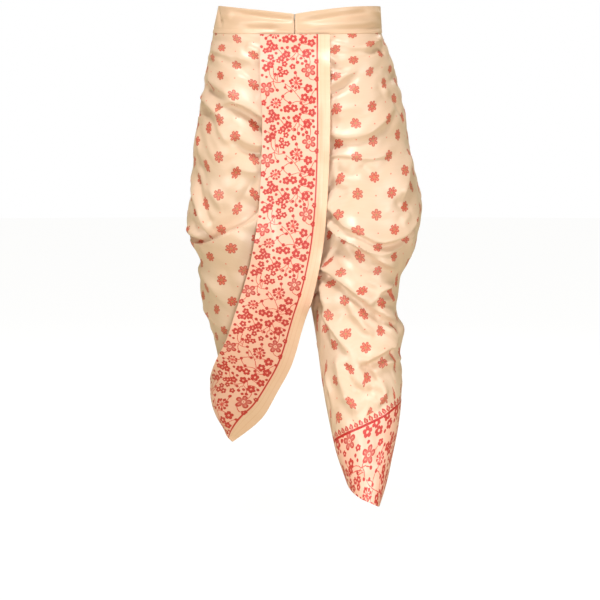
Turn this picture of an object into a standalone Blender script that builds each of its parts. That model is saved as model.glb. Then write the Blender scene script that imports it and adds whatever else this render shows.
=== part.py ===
"""Dhoti pants: draped satin trousers with a fitted waistband, a low crotch, legs that
narrow to the shins, a printed fall panel down the front and a printed border on one hem.

The pants hang in the form they take when worn, with one leg a step ahead of the other.
The origin is the middle of the waist, -Y is the front, +Z is up and +X is the left leg.
Every piece is an open sheet worked out from a table of sections, raised by a table of
folds and then given its thickness. Tables are in millimetres, everything else in metres.
"""
import math

import bpy
import numpy as np

MM = 0.001
NAME = "dhoti_pants"

# Cloth and seams
LEG_CLOTH = 1.8 * MM
BAND_CLOTH = 2.0 * MM
PANEL_CLOTH = 1.6 * MM
SEAM_GAP = 0.3 * MM
SEAM_INSET = 0.22 * MM
PANEL_SEAM_GAP = 0.5 * MM
BAND_SEAM_INSET = 0.35 * MM
WAIST_GAP = 0.7 * MM
SLIT_GAP = 1.0 * MM
MOST_SEAM_BEND = math.radians(30)
PANEL_CLEARANCE = 3.0 * MM
PANEL_FREE_DROP = 80.0 * MM
PANEL_WIDTH = 131.0 * MM
EDGE_STRIP_WIDTH = 21.0 * MM

# How finely the sheets are divided
FRONT_COLUMNS = 20
LEG_ROWS = 36
BACK_COLUMNS = 15
BORDER_ROWS = 5
PANEL_COLUMNS = 8
EDGE_COLUMNS = 2
PANEL_LENGTH_ROWS = 34
BAND_ROWS = 2

# How the cloth is shaped
SIDE_FULLNESS = 0.9
FOLD_STEP = 9.0 * MM
NARROWEST_FOLD = 11.0 * MM
SEAM_HOLD = 0.12
WAIST_HOLD = 30.0 * MM
WAIST_SEAM_HEIGHT = -26.0 * MM
FOLD_REACH = 2.6
FEWEST_FOLD_STEPS = 6
PANEL_REACH = 12.0 * MM
PANEL_SMOOTHING = 4
WRAP_HEIGHT = -700 * MM

# How finely the plain surface is measured, and the steps by which it is read
SECTION_MARKS = 81
SECTION_HEIGHTS = 140
SECTION_SHARES = 49
PLACES_ROUND = 65
DEPTH_PLACES = 41
PAST_SEAM = 0.06
STEP_ROUND = 0.01
STEP_DOWN = 1.5 * MM
LAST_CELL = 1.001
TINY = 1e-9

# The seam between the two legs, down the front and up the back: its height, its x, and
# its y at the front and at the back, which meet at the crotch.
CROTCH_HEIGHT = -552 * MM
CENTRE_SEAM = (
    (-29, -10, -112, 108), (-60, -10, -120, 117), (-100, -9, -126, 127),
    (-175, -8, -130, 134), (-250, -6, -128, 133), (-305, -3, -121, 126),
    (-365, 2, -110, 114), (-424, 8, -93, 96), (-480, 14, -68, 71),
    (-525, 18, -38, 35), (-545, 20, -22, 8), (-552, 21, -12, -12),
)
# The inside seam of each leg below the crotch: its height, x and y.
LEFT_INSEAM = ((-552, 21, -12), (-590, 28, -44), (-630, 34, -68), (-690, 42, -94),
               (-760, 55, -118), (-820, 69, -134), (-880, 90, -146), (-925, 103, -152))
RIGHT_INSEAM = ((-552, 21, -12), (-575, 5, 22), (-600, -8, 50), (-650, -28, 80),
                (-700, -48, 100), (-750, -66, 120), (-800, -84, 142), (-840, -90, 152))

# Sections of each leg, from the waist down: where its front, side and back lie, and
# closed, which is 0 where the legs share one ring and 1 where the leg is a tube.
SECTION_COLUMNS = ("z", "front_x", "front_y", "side_x", "side_y", "back_x", "back_y", "closed")
LEFT_LEG = (
    (-29, 50, -109, 156, 0, 50, 106, 0.0),
    (-60, 58, -119, 169, 0, 58, 122, 0.0),
    (-100, 66, -128, 181, 2, 70, 136, 0.0),
    (-175, 80, -146, 200, 2, 85, 150, 0.0),
    (-250, 95, -160, 211, 0, 95, 150, 0.0),
    (-300, 102, -168, 222, -2, 100, 143, 0.0),
    (-357, 108, -174, 233, -8, 105, 132, 0.0),
    (-423, 108, -178, 222, -25, 105, 114, 0.05),
    (-462, 107, -179, 208, -39, 101, 97, 0.25),
    (-492, 105, -180, 190, -48, 99, 82, 0.5),
    (-525, 104, -180, 186, -60, 98, 64, 0.9),
    (-545, 103, -181, 184, -67, 97, 50, 1.0),
    (-568, 103, -182, 187, -73, 98, 33, 1.0),
    (-590, 104, -184, 198, -78, 99, 18, 1.0),
    (-609, 104, -185, 194, -82, 101, 10, 1.0),
    (-630, 105, -187, 190, -86, 104, 4, 1.0),
    (-690, 109, -191, 193, -102, 110, -14, 1.0),
    (-760, 116, -196, 187, -117, 116, -36, 1.0),
    (-820, 121, -201, 175, -130, 122, -60, 1.0),
    (-880, 128, -207, 161, -141, 127, -84, 1.0),
    (-925, 132, -210, 146, -148, 130, -100, 1.0),
)
RIGHT_LEG = (
    (-29, -65, -108, -166, 0, -65, 106, 0.0),
    (-60, -72, -118, -172, 2, -72, 124, 0.0),
    (-100, -80, -126, -180, 5, -80, 140, 0.0),
    (-175, -92, -136, -192, 10, -92, 154, 0.0),
    (-250, -100, -138, -205, 14, -100, 160, 0.0),
    (-310, -104, -132, -203, 18, -104, 160, 0.0),
    (-374, -106, -120, -218, 25, -106, 160, 0.0),
    (-410, -106, -110, -213, 31, -106, 161, 0.02),
    (-430, -106, -104, -202, 35, -106, 162, 0.05),
    (-448, -105, -98, -193, 39, -105, 164, 0.12),
    (-466, -105, -92, -187, 43, -104, 166, 0.26),
    (-490, -104, -84, -190, 49, -103, 170, 0.52),
    (-525, -102, -70, -189, 58, -102, 177, 0.9),
    (-545, -100, -62, -185, 64, -100, 182, 1.0),
    (-600, -96, -38, -172, 76, -96, 191, 1.0),
    (-650, -99, -8, -162, 91, -99, 198, 1.0),
    (-700, -106, 28, -158, 110, -108, 204, 1.0),
    (-750, -110, 64, -152, 130, -112, 208, 1.0),
    (-800, -114, 94, -144, 150, -116, 211, 1.0),
    (-840, -116, 112, -140, 160, -117, 211, 1.0),
)

# Where each piece starts and ends, round a leg: 0 is the inside seam, 1 the side seam
# and 2 the inside seam again, by way of the back.
WAIST_SEAM = ((0.0, -32.0), (0.5, -29.8), (1.0, -25.3), (1.5, -28.0), (2.0, -32.0))
LEFT_BORDER_TOP = ((0.0, -801), (0.3, -776), (0.6, -747), (0.85, -723), (1.0, -718),
                   (1.2, -722), (1.5, -750), (1.8, -787), (2.0, -801))
LEFT_HEM = ((0.0, -872), (0.2, -884), (0.45, -898), (0.7, -911), (0.85, -911),
            (1.0, -902), (1.3, -880), (1.7, -868), (2.0, -872))
RIGHT_HEM = ((0.0, -752), (0.5, -776), (1.0, -800), (1.5, -790), (2.0, -752))

# The fall panel, from the waist to its end round the outside of the right shin. Each
# row runs across the strip: its left edge, its middle and its free right edge.
PANEL_ROWS = (
    (-75, -108, -33, -10, -113, -33, 56, -110, -33),
    (-74, -130, -110, -10, -136, -110, 56, -134, -110),
    (-70, -140, -193, -8, -144, -193, 56, -146, -193),
    (-72, -140, -270, -9, -146, -271, 54, -148, -272),
    (-76, -130, -345, -12, -142, -347, 50, -146, -350),
    (-84, -112, -412, -20, -130, -420, 43, -138, -428),
    (-97, -96, -475, -34, -114, -490, 28, -118, -505),
    (-117, -72, -540, -55, -88, -557, 8, -84, -575),
    (-141, -22, -612, -80, -42, -636, -15, -30, -660),
    (-162, 46, -655, -108, 0, -690, -45, 16, -722),
    (-175, 96, -690, -132, 32, -724, -66, 52, -764),
    (-178, 126, -714, -158, 72, -752, -84, 76, -788),
    (-170, 156, -738, -164, 106, -782, -110, 98, -812),
    (-148, 184, -764, -152, 144, -806, -134, 122, -832),
)

# The top edge of the waistband, from the centre front by way of each side to the centre
# back, with a dip at the front and the back: how far round, then x, y and z.
BAND_TOPS = {
    "left": ((0.0, -10, -114, 5), (0.2, 29, -112, 11), (0.45, 86, -92, 18.5),
             (0.72, 133, -52, 22), (1.0, 154, 0, 23), (1.35, 133, 54, 15),
             (1.65, 70, 96, 7), (2.0, -10, 110, 3)),
    "right": ((0.0, -10, -114, 5), (0.2, -67, -106, 11.5), (0.45, -114, -78, 17.5),
              (0.72, -143, -42, 22), (1.0, -156, 0, 24), (1.35, -135, 54, 15),
              (1.65, -84, 94, 7), (2.0, -10, 110, 3)),
}

# The main folds of each leg. Each row: the face its places are read on ("front" and "back"
# give x and z, "round" gives how far round and z), how high it stands, how wide it is on
# its left and on its right when it is walked from its first place, the shares of its
# length over which it rises and dies away, how far it hangs down for its height, and its
# places.
LEFT_FOLDS = (
    ("front", 5, 10, 10, 0.2, 0.2, 0.0, ((56, -50), (90, -57), (121, -55), (150, -36))),
    ("front", -5, 10, 10, 0.1, 0.4, 0.0, ((50, -145), (86, -121), (112, -100))),
    ("front", -4, 9, 9, 0.3, 0.3, 0.0, ((145, -118), (157, -132), (170, -150))),
    ("front", 6, 14, 8, 0.1, 0.3, 0.1,
     ((50, -214), (77, -222), (104, -222), (128, -214), (152, -194))),
    ("front", 9, 6, 22, 0.3, 0.3, 0.0, ((207, -227), (202, -275), (194, -310), (191, -345))),
    ("front", 12, 14, 8, 0.05, 0.25, 0.2,
     ((44, -334), (68, -362), (89, -383), (118, -400), (142, -413), (166, -413),
      (191, -402), (210, -383), (224, -355))),
    ("front", 13, 12, 9, 0.05, 0.2, 0.2,
     ((40, -362), (68, -390), (97, -410), (124, -430), (148, -448), (179, -471))),
    ("front", 15, 14, 9, 0.05, 0.2, 0.15,
     ((36, -452), (62, -475), (87, -493), (109, -513), (132, -534), (161, -558),
      (187, -577))),
    ("front", 9, 9, 9, 0.3, 0.5, 0.0, ((135, -517), (155, -503), (176, -496))),
    ("front", 12, 14, 8, 0.1, 0.3, 0.0,
     ((36, -478), (46, -509), (51, -547), (56, -565), (68, -585), (87, -616), (103, -637))),
    ("front", 12, 14, 8, 0.3, 0.25, 0.1, ((103, -640), (135, -626), (161, -614), (187, -604))),
    ("front", -9, 10, 10, 0.2, 0.4, 0.0, ((116, -643), (135, -667), (156, -690))),
    ("front", -8, 10, 10, 0.3, 0.3, 0.0, ((92, -682), (128, -697), (152, -688))),
    ("front", 6, 9, 9, 0.3, 0.3, 0.0, ((132, -648), (147, -674), (158, -705))),
    ("front", 6, 10, 9, 0.3, 0.4, 0.0, ((42, -520), (52, -572), (60, -620))),
    ("front", 5, 14, 14, 0.3, 0.4, 0.0, ((66, -630), (74, -671), (86, -715))),
    ("front", 4, 14, 14, 0.3, 0.2, 0.0, ((104, -756), (113, -802), (125, -860))),
    ("round", 6, 13, 11, 0.3, 0.4, 0.1, ((1.02, -345), (1.16, -285), (1.3, -205))),
    ("back", 4, 12, 12, 0.3, 0.3, 0.0, ((150, -60), (120, -110), (100, -170))),
    ("back", 8, 16, 10, 0.2, 0.3, 0.2,
     ((205, -250), (160, -310), (105, -335), (50, -320), (15, -290))),
    ("back", 10, 16, 10, 0.15, 0.3, 0.2,
     ((212, -330), (165, -385), (110, -410), (60, -395), (25, -360))),
    ("back", 11, 16, 10, 0.15, 0.3, 0.2,
     ((205, -410), (160, -455), (115, -480), (70, -475), (35, -445))),
    ("back", 9, 14, 9, 0.2, 0.3, 0.1, ((180, -505), (150, -540), (110, -555), (70, -545))),
    ("back", 8, 12, 9, 0.2, 0.2, 0.1, ((185, -592), (140, -622), (100, -615), (60, -590))),
    ("back", 6, 12, 9, 0.3, 0.3, 0.0, ((182, -680), (140, -705), (95, -690))),
)
RIGHT_FOLDS = (
    ("front", -4, 10, 9, 0.3, 0.3, 0.0, ((-167, -40), (-125, -48), (-87, -54))),
    ("front", 5, 12, 9, 0.3, 0.2, 0.0, ((-170, -60), (-142, -68), (-103, -80), (-77, -91))),
    ("front", 6, 12, 9, 0.25, 0.3, 0.0, ((-176, -108), (-159, -128), (-130, -142))),
    ("front", 6, 12, 9, 0.25, 0.3, 0.0, ((-184, -140), (-166, -170), (-137, -202))),
    ("front", 13, 26, 8, 0.35, 0.12, 0.2,
     ((-150, -168), (-139, -161), (-124, -157), (-105, -163), (-88, -173), (-62, -190))),
    ("front", 6, 14, 14, 0.3, 0.2, 0.0, ((-124, -213), (-95, -234), (-62, -236))),
    ("front", 9, 22, 6, 0.3, 0.1, 0.0,
     ((-205, -283), (-198, -324), (-189, -365), (-178, -397), (-164, -417))),
    ("front", 6, 9, 9, 0.3, 0.3, 0.0, ((-210, -400), (-199, -414), (-182, -421))),
    ("round", 15, 55, 11, 0.12, 0.25, -0.3,
     ((0.21, -362), (0.27, -374), (0.35, -393), (0.47, -410), (0.57, -423), (0.65, -429),
      (0.76, -428), (0.86, -419), (0.96, -404))),
    ("front", 5, 16, 16, 0.3, 0.4, 0.0, ((-190, -470), (-160, -520), (-135, -560))),
    ("round", 4, 12, 12, 0.3, 0.3, 0.0, ((0.94, -480), (0.9, -560), (0.86, -640))),
    ("back", 4, 12, 12, 0.3, 0.3, 0.0, ((-20, -90), (-60, -130), (-110, -150))),
    ("back", 8, 16, 10, 0.3, 0.2, 0.2,
     ((5, -270), (-50, -315), (-105, -335), (-160, -310), (-198, -255))),
    ("back", 10, 16, 10, 0.3, 0.15, 0.2,
     ((5, -345), (-50, -395), (-105, -415), (-160, -395), (-205, -335))),
    ("back", 11, 16, 10, 0.3, 0.15, 0.2,
     ((0, -430), (-50, -470), (-105, -490), (-155, -470), (-195, -430))),
    ("back", 9, 14, 9, 0.3, 0.2, 0.1, ((-10, -530), (-60, -560), (-110, -570), (-160, -550))),
    ("back", 8, 12, 9, 0.3, 0.2, 0.1, ((-30, -620), (-75, -645), (-120, -650), (-155, -625))),
    ("back", 6, 12, 9, 0.3, 0.3, 0.0, ((-60, -700), (-100, -725), (-140, -710))),
)


def smooth_between(known, values, wanted):
    """Read a smooth curve through the known rows at the wanted places."""
    known = np.asarray(known, float)
    values = np.asarray(values, float)
    slopes = np.gradient(values, known)
    wanted = np.clip(wanted, known[0], known[-1])
    low = np.clip(np.searchsorted(known, wanted, side="right") - 1, 0, len(known) - 2)
    span = known[low + 1] - known[low]
    t = (wanted - known[low]) / span
    return (values[low] * (1 + 2 * t) * (1 - t) ** 2 + slopes[low] * span * t * (1 - t) ** 2
            + values[low + 1] * t * t * (3 - 2 * t) + slopes[low + 1] * span * t * t * (t - 1))


def read_table(rows, names, z):
    """The columns of a table at the heights z, in metres but for plain shares."""
    rows = np.array(rows, float)[::-1]
    return {name: smooth_between(rows[:, 0] * MM,
                                 rows[:, index] * (1.0 if name == "closed" else MM), z)
            for index, name in enumerate(names)}


def leg_sections(leg, z):
    """Where the seams and the crowns of a leg lie at the heights z."""
    columns = read_table(leg.rows, SECTION_COLUMNS, z)
    centre = read_table(CENTRE_SEAM, ("z", "x", "front_y", "back_y"), z)
    inside = read_table(leg.inseam, ("z", "x", "y"), z)
    above = z >= CROTCH_HEIGHT
    seam_x = np.where(above, centre["x"], inside["x"])
    columns["seam_x"] = seam_x + leg.outward * SEAM_GAP / 2
    columns["front_seam_y"] = np.where(above, centre["front_y"], inside["y"])
    columns["back_seam_y"] = np.where(above, centre["back_y"], inside["y"])
    return columns


def even_spacing(leg, half, heights, shares):
    """For each height, the places along the section that lie at even shares of its length."""
    marks = np.linspace(-1, 1, SECTION_MARKS)
    grid_z, grid_mark = np.meshgrid(heights, marks, indexing="ij")
    x, y = section_point(leg_sections(leg, grid_z), half, grid_mark)
    steps = np.hypot(np.diff(x, axis=1), np.diff(y, axis=1))
    length = np.concatenate([np.zeros((len(heights), 1)), np.cumsum(steps, axis=1)], axis=1)
    return np.array([np.interp(shares * row[-1], row, marks) for row in length])


def section_point(columns, half, mark):
    """A point of the section: mark runs from -1 at the inside seam by 0 at the crown to 1."""
    seam_x, seam_y = columns["seam_x"], columns[half + "_seam_y"]
    crown_x, crown_y = columns[half + "_x"], columns[half + "_y"]
    side_x, side_y = columns["side_x"], columns["side_y"]
    inner = np.clip(1 + mark, 0, 1)
    quarter = inner * math.pi / 2
    ring_x = inner
    ring_y = (1 - np.cos(inner * math.pi)) / 2
    tube_x = 1 - np.cos(quarter)
    tube_y = np.sin(quarter)
    closed = columns["closed"]
    share_x = ring_x + (tube_x - ring_x) * closed
    share_y = ring_y + (tube_y - ring_y) * closed
    inner_x = seam_x + (crown_x - seam_x) * share_x
    inner_y = seam_y + (crown_y - seam_y) * share_y
    outer = np.clip(mark, 0, 1) * math.pi / 2
    outer_x = crown_x + (side_x - crown_x) * np.sin(outer) ** SIDE_FULLNESS
    outer_y = side_y + (crown_y - side_y) * np.cos(outer) ** SIDE_FULLNESS
    inside = mark < 0
    return np.where(inside, inner_x, outer_x), np.where(inside, inner_y, outer_y)


class Leg:
    """One leg's plain surface, read by how far round it is and how high."""

    def __init__(self, rows, inseam, outward):
        self.rows = rows
        self.inseam = inseam
        self.outward = outward
        self.heights = np.linspace(rows[-1][0] * MM, rows[0][0] * MM, SECTION_HEIGHTS)
        self.shares = np.linspace(0, 1, SECTION_SHARES)
        self.marks = {half: even_spacing(self, half, self.heights, self.shares)
                      for half in ("front", "back")}

    def mark(self, half, share, z):
        """The place on the section at an even share of its length."""
        table = self.marks[half]
        row = (z - self.heights[0]) / (self.heights[1] - self.heights[0])
        row = np.clip(row, 0, len(self.heights) - LAST_CELL)
        column = np.clip(share, 0, 1) * (len(self.shares) - LAST_CELL)
        i, j = row.astype(int), column.astype(int)
        a, b = row - i, column - j
        return ((table[i, j] * (1 - b) + table[i, j + 1] * b) * (1 - a)
                + (table[i + 1, j] * (1 - b) + table[i + 1, j + 1] * b) * a)

    def point(self, around, z):
        """Points at around (0 inside seam, 1 side seam, 2 inside seam) and height z."""
        around = np.clip(around, 0, 2)
        columns = leg_sections(self, z)
        front = section_point(columns, "front", self.mark("front", around, z))
        back = section_point(columns, "back", self.mark("back", 2 - around, z))
        is_front = around <= 1
        x = np.where(is_front, front[0], back[0])
        y = np.where(is_front, front[1], back[1])
        return np.stack([x, y, z], axis=-1)

    def normal(self, around, z):
        """The direction that points out of the leg."""
        across = self.point(around + STEP_ROUND, z) - self.point(around - STEP_ROUND, z)
        down = self.point(around, z - STEP_DOWN) - self.point(around, z + STEP_DOWN)
        out = np.cross(down, across) * self.outward
        return out / np.maximum(np.linalg.norm(out, axis=-1, keepdims=True), TINY)

    def around_at(self, face, x, z):
        """How far round the leg the place is that lies at x and z on one face."""
        shares = np.linspace(0, 1, PLACES_ROUND)
        around = shares if face == "front" else 2 - shares
        found = []
        for one_x, one_z in zip(x, z):
            xs = self.point(around, np.full(len(around), one_z))[:, 0] * self.outward
            found.append(np.interp(one_x * self.outward, np.maximum.accumulate(xs), around))
        return np.array(found)


def fold_line(leg, face, path):
    """A smooth line of points on a leg: its places, its directions and the outward way."""
    path = np.array(path, float)
    if face == "round":
        around, z = path[:, 0], path[:, 1] * MM
    else:
        z = path[:, 1] * MM
        around = leg.around_at(face, path[:, 0] * MM, z)
    corners = leg.point(around, z)
    run = np.concatenate([[0], np.cumsum(np.linalg.norm(np.diff(corners, axis=0), axis=1))])
    count = max(FEWEST_FOLD_STEPS, int(run[-1] / FOLD_STEP))
    along = np.linspace(0, run[-1], count)
    around = smooth_between(run, around, along)
    z = smooth_between(run, z, along)
    places = leg.point(around, z)
    ways = np.gradient(places, axis=0)
    ways /= np.maximum(np.linalg.norm(ways, axis=1, keepdims=True), TINY)
    return places, ways, leg.normal(around, z), along / run[-1]


def fade(value, width):
    """Rises smoothly from 0 at 0 to 1 at the width."""
    t = np.clip(value / width, 0, 1)
    return t * t * (3 - 2 * t)


def fold_heights(points, leg, folds):
    """How far each point is raised by the folds, and how far it is let down."""
    raised = np.zeros(len(points))
    dropped = np.zeros(len(points))
    for face, height, left_width, right_width, fade_in, fade_out, droop, path in folds:
        places, ways, outs, share = fold_line(leg, face, path)
        lefts = np.cross(outs, ways)
        reach = FOLD_REACH * max(left_width, right_width) * MM
        near = np.all((points > places.min(0) - reach) & (points < places.max(0) + reach), axis=1)
        if not near.any():
            continue
        gap = points[near][:, None, :] - places[None]
        nearest = np.argmin((gap ** 2).sum(-1), axis=1)
        gap = gap[np.arange(len(nearest)), nearest]
        side = (gap * lefts[nearest]).sum(-1)
        beyond = (gap * ways[nearest]).sum(-1)
        width = np.where(side > 0, left_width, right_width) * MM
        width = np.maximum(width, NARROWEST_FOLD)
        end_width = max(min(left_width, right_width) * MM, NARROWEST_FOLD)
        rise = height * MM * np.exp(-(side / width) ** 2 - (beyond / end_width) ** 2)
        rise *= fade(share[nearest], fade_in) * fade(1 - share[nearest], fade_out)
        raised[near] += rise
        dropped[near] += rise * droop
    return raised, dropped


def leg_surface(leg, folds, around, z):
    """The folded surface of a leg at arrays of around and z."""
    shape = around.shape
    flat_round, flat_z = around.ravel(), z.ravel()
    points = leg.point(flat_round, flat_z)
    outs = leg.normal(flat_round, flat_z)
    raised, dropped = fold_heights(points, leg, folds)
    from_seam = np.minimum(flat_round, 2 - flat_round)
    held = fade(from_seam, SEAM_HOLD) * fade(WAIST_SEAM_HEIGHT - flat_z, WAIST_HOLD)
    points = points + outs * (raised * held)[:, None]
    points[:, 2] -= dropped * held
    return points.reshape(shape + (3,))


def edge_heights(table, around):
    """The height of an edge of the cloth at each place round the leg."""
    rows = np.array(table, float)
    return smooth_between(rows[:, 0], rows[:, 1] * MM, around)


def leg_piece_points(leg, folds, around, rows, top, bottom):
    """A grid of points for the cloth between two seams and two edges."""
    around = around[None, :].repeat(rows + 1, axis=0)
    share = np.linspace(0, 1, rows + 1)[:, None]
    z = edge_heights(top, around[0]) * (1 - share) + edge_heights(bottom, around[0]) * share
    points = leg_surface(leg, folds, around, z)
    for edge, step in ((0, 1), (-1, -1)):
        past_seam = (around[:, edge] - step * PAST_SEAM) % 2
        past = leg_surface(leg, folds, past_seam, z[:, edge])
        tube = leg_sections(leg, z[:, edge])["closed"]
        share = tube if around[0, edge] in (0, 2) else np.ones(len(z))
        bend = seam_bend(past, points[:, edge], points[:, edge + step]) * share
        inset = SEAM_INSET + LEG_CLOTH * np.tan(np.minimum(bend / 2, MOST_SEAM_BEND))
        draw_in(points, edge, step, inset[:, None])
    return points


def seam_bend(before, at, after):
    """The angle through which the cloth turns as it crosses a seam."""
    first, second = at - before, after - at
    sizes = np.linalg.norm(first, axis=-1) * np.linalg.norm(second, axis=-1)
    return np.arccos(np.clip((first * second).sum(-1) / np.maximum(sizes, TINY ** 2), -1, 1))


def draw_in(points, edge, step, inset):
    """Moves one edge column of a grid of points in from its seam."""
    way = points[:, edge + step] - points[:, edge]
    way /= np.maximum(np.linalg.norm(way, axis=-1, keepdims=True), TINY)
    points[:, edge] += way * inset


def curve_through(rows, count):
    """Smooth rows between the rows of a table, evenly spread over the table."""
    rows = np.array(rows, float)
    known = np.arange(len(rows))
    wanted = np.linspace(0, len(rows) - 1, count)
    return np.stack([smooth_between(known, rows[:, i] * MM, wanted)
                     for i in range(rows.shape[1])], axis=-1)


def panel_points(shares, rows):
    """The fall panel at the given shares of its width, as a grid of points."""
    lines = curve_through(PANEL_ROWS, rows + 1)[:, None]
    left, middle, right = lines[..., 0:3], lines[..., 3:6], lines[..., 6:9]
    u = np.asarray(shares)[None, :, None]
    return (left * (2 * u - 1) * (u - 1) + middle * 4 * u * (1 - u)
            + right * u * (2 * u - 1))


def front_depth(leg, folds, x, z):
    """How far forward the folded leg lies behind each place, or nothing if it isn't there."""
    shares = np.linspace(0, 1, DEPTH_PLACES)
    around = np.broadcast_to(shares, (len(z), len(shares)))
    surface = leg_surface(leg, folds, around, np.broadcast_to(z[:, None], around.shape))
    depth = np.full(len(z), np.inf)
    for index, line in enumerate(surface):
        near = np.abs(line[:, 0] - x[index]) < PANEL_REACH
        if near.any():
            depth[index] = line[near, 1].min()
    return depth


def clear_of_legs(points):
    """Brings the panel forward where it would touch the legs, and smooths what moved."""
    flat = points.reshape(-1, 3)
    limit = np.full(len(flat), np.inf)
    for side, leg in LEGS.items():
        limit = np.minimum(limit, front_depth(leg, FOLDS[side], flat[:, 0], flat[:, 2]))
    free = fade(WAIST_SEAM_HEIGHT - flat[:, 2], PANEL_FREE_DROP)
    limit -= PANEL_CLOTH + SEAM_GAP + (PANEL_CLEARANCE - SEAM_GAP) * free
    limit = limit.reshape(points.shape[:2])
    limit[points[..., 2] < WRAP_HEIGHT] = np.inf
    limit[2:-1] = np.minimum(np.minimum(limit[1:-2], limit[3:]), limit[2:-1])
    depth = points[..., 1]
    for _ in range(PANEL_SMOOTHING):
        depth = np.minimum(depth, limit)
        wide = np.pad(depth, 1, mode="edge")
        depth = (wide[:-2, 1:-1] + wide[2:, 1:-1] + wide[1:-1, :-2] + wide[1:-1, 2:]
                 + 4 * depth) / 8
    points[..., 1] = np.minimum(depth, limit)
    return points


def band_points(side, around):
    """One stretch of the waistband, from its top edge to its seam with the leg."""
    rows = np.array(BAND_TOPS[side], float)
    top = np.stack([smooth_between(rows[:, 0], rows[:, i] * MM, around)
                    for i in (1, 2, 3)], axis=-1)
    low = LEGS[side].point(around, edge_heights(WAIST_SEAM, around) + WAIST_GAP)
    share = np.linspace(0, 1, BAND_ROWS + 1)[:, None, None]
    return top[None] * (1 - share) + low[None] * share


def cloth_material(name, colour, roughness):
    """A Principled material for one kind of cloth."""
    material = bpy.data.materials.new(name)
    material.use_nodes = True
    shader = material.node_tree.nodes["Principled BSDF"]
    shader.inputs["Base Color"].default_value = (*colour, 1.0)
    shader.inputs["Roughness"].default_value = roughness
    shader.inputs["Metallic"].default_value = 0.0
    material.diffuse_color = (*colour, 1.0)
    return material


def make_sheet(name, points, outward, thickness, material):
    """An object from a grid of points, thickened towards the wearer."""
    rows, columns = points.shape[:2]
    corners = np.arange(rows * columns).reshape(rows, columns)
    faces = np.stack([corners[:-1, :-1], corners[1:, :-1], corners[1:, 1:],
                      corners[:-1, 1:]], axis=-1).reshape(-1, 4)
    if outward < 0:
        faces = faces[:, ::-1]
    mesh = bpy.data.meshes.new(name)
    mesh.from_pydata(points.reshape(-1, 3).tolist(), [], faces.tolist())
    mesh.update()
    mesh.shade_smooth()
    sheet = bpy.data.objects.new(name, mesh)
    bpy.data.collections[NAME].objects.link(sheet)
    mesh.materials.append(material)
    wall = sheet.modifiers.new("Thickness", "SOLIDIFY")
    wall.thickness = thickness
    wall.offset = -1.0
    wall.use_even_offset = False
    return sheet


for old in list(bpy.data.objects):
    bpy.data.objects.remove(old, do_unlink=True)
bpy.context.scene.collection.children.link(bpy.data.collections.new(NAME))

LEGS = {"left": Leg(LEFT_LEG, LEFT_INSEAM, 1), "right": Leg(RIGHT_LEG, RIGHT_INSEAM, -1)}
FOLDS = {"left": LEFT_FOLDS, "right": RIGHT_FOLDS}
HEMS = {"left": LEFT_BORDER_TOP, "right": RIGHT_HEM}

body_satin = cloth_material("printed_body_satin", (0.78, 0.62, 0.42), 0.42)
band_satin = cloth_material("plain_band_satin", (0.86, 0.68, 0.44), 0.40)
border_satin = cloth_material("printed_border_satin", (0.85, 0.42, 0.33), 0.45)
edge_satin = cloth_material("plain_edge_satin", (0.87, 0.69, 0.46), 0.42)

# Two legs, each with a front and a back that meet at the side and at the inside
front_around = np.linspace(0, 1, FRONT_COLUMNS + 1)
back_around = np.linspace(1, 2, BACK_COLUMNS + 1)
for side, leg in LEGS.items():
    for face, around in (("front", front_around), ("back", back_around)):
        cloth = leg_piece_points(leg, FOLDS[side], around, LEG_ROWS, WAIST_SEAM, HEMS[side])
        make_sheet(side + "_leg_" + face, cloth, leg.outward, LEG_CLOTH, body_satin)

# The printed border round the foot of the left leg, joined at the inside seam
border_top = [(around, z - SEAM_GAP / MM) for around, z in LEFT_BORDER_TOP]
border_around = np.concatenate([front_around, back_around[1:]])
border = leg_piece_points(LEGS["left"], LEFT_FOLDS, border_around, BORDER_ROWS,
                          border_top, LEFT_HEM)
make_sheet("left_hem_border", border, 1, LEG_CLOTH, border_satin)

# The fall panel and its plain edge, cut from one surface so that they lie flush
strip_start = 1 - EDGE_STRIP_WIDTH / PANEL_WIDTH
print_end = strip_start - PANEL_SEAM_GAP / PANEL_WIDTH
shares = np.concatenate([np.linspace(0, print_end, PANEL_COLUMNS + 1),
                         np.linspace(strip_start, 1, EDGE_COLUMNS + 1)])
fall = clear_of_legs(panel_points(shares, PANEL_LENGTH_ROWS))
make_sheet("front_panel", fall[:, :PANEL_COLUMNS + 1], 1, PANEL_CLOTH, border_satin)
make_sheet("front_panel_edge", fall[:, PANEL_COLUMNS + 1:], 1, PANEL_CLOTH, edge_satin)

# The waistband: two fronts that meet at the slit and run to the sides, and one back
for side, leg in LEGS.items():
    half = band_points(side, front_around)
    draw_in(half, 0, 1, SLIT_GAP / 2)
    draw_in(half, -1, -1, BAND_SEAM_INSET)
    make_sheet("waistband_front_" + side, half, leg.outward, BAND_CLOTH, band_satin)
back = np.concatenate([band_points("left", back_around),
                       band_points("right", back_around[::-1])[:, 1:]], axis=1)
draw_in(back, 0, 1, BAND_SEAM_INSET)
draw_in(back, -1, -1, BAND_SEAM_INSET)
make_sheet("waistband_back", back, 1, BAND_CLOTH, band_satin)
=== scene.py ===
"""Looks of the dhoti pants: printed cream satin draped on two legs, with a plain
waistband, a printed fall panel with a plain edge, and a printed border on one hem.

Everything is in metres in the frame of the solids, and each piece lies on its solid.
Tables are in millimetres. The wearer's left is +X, and the front is -Y.
"""
import math

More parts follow.
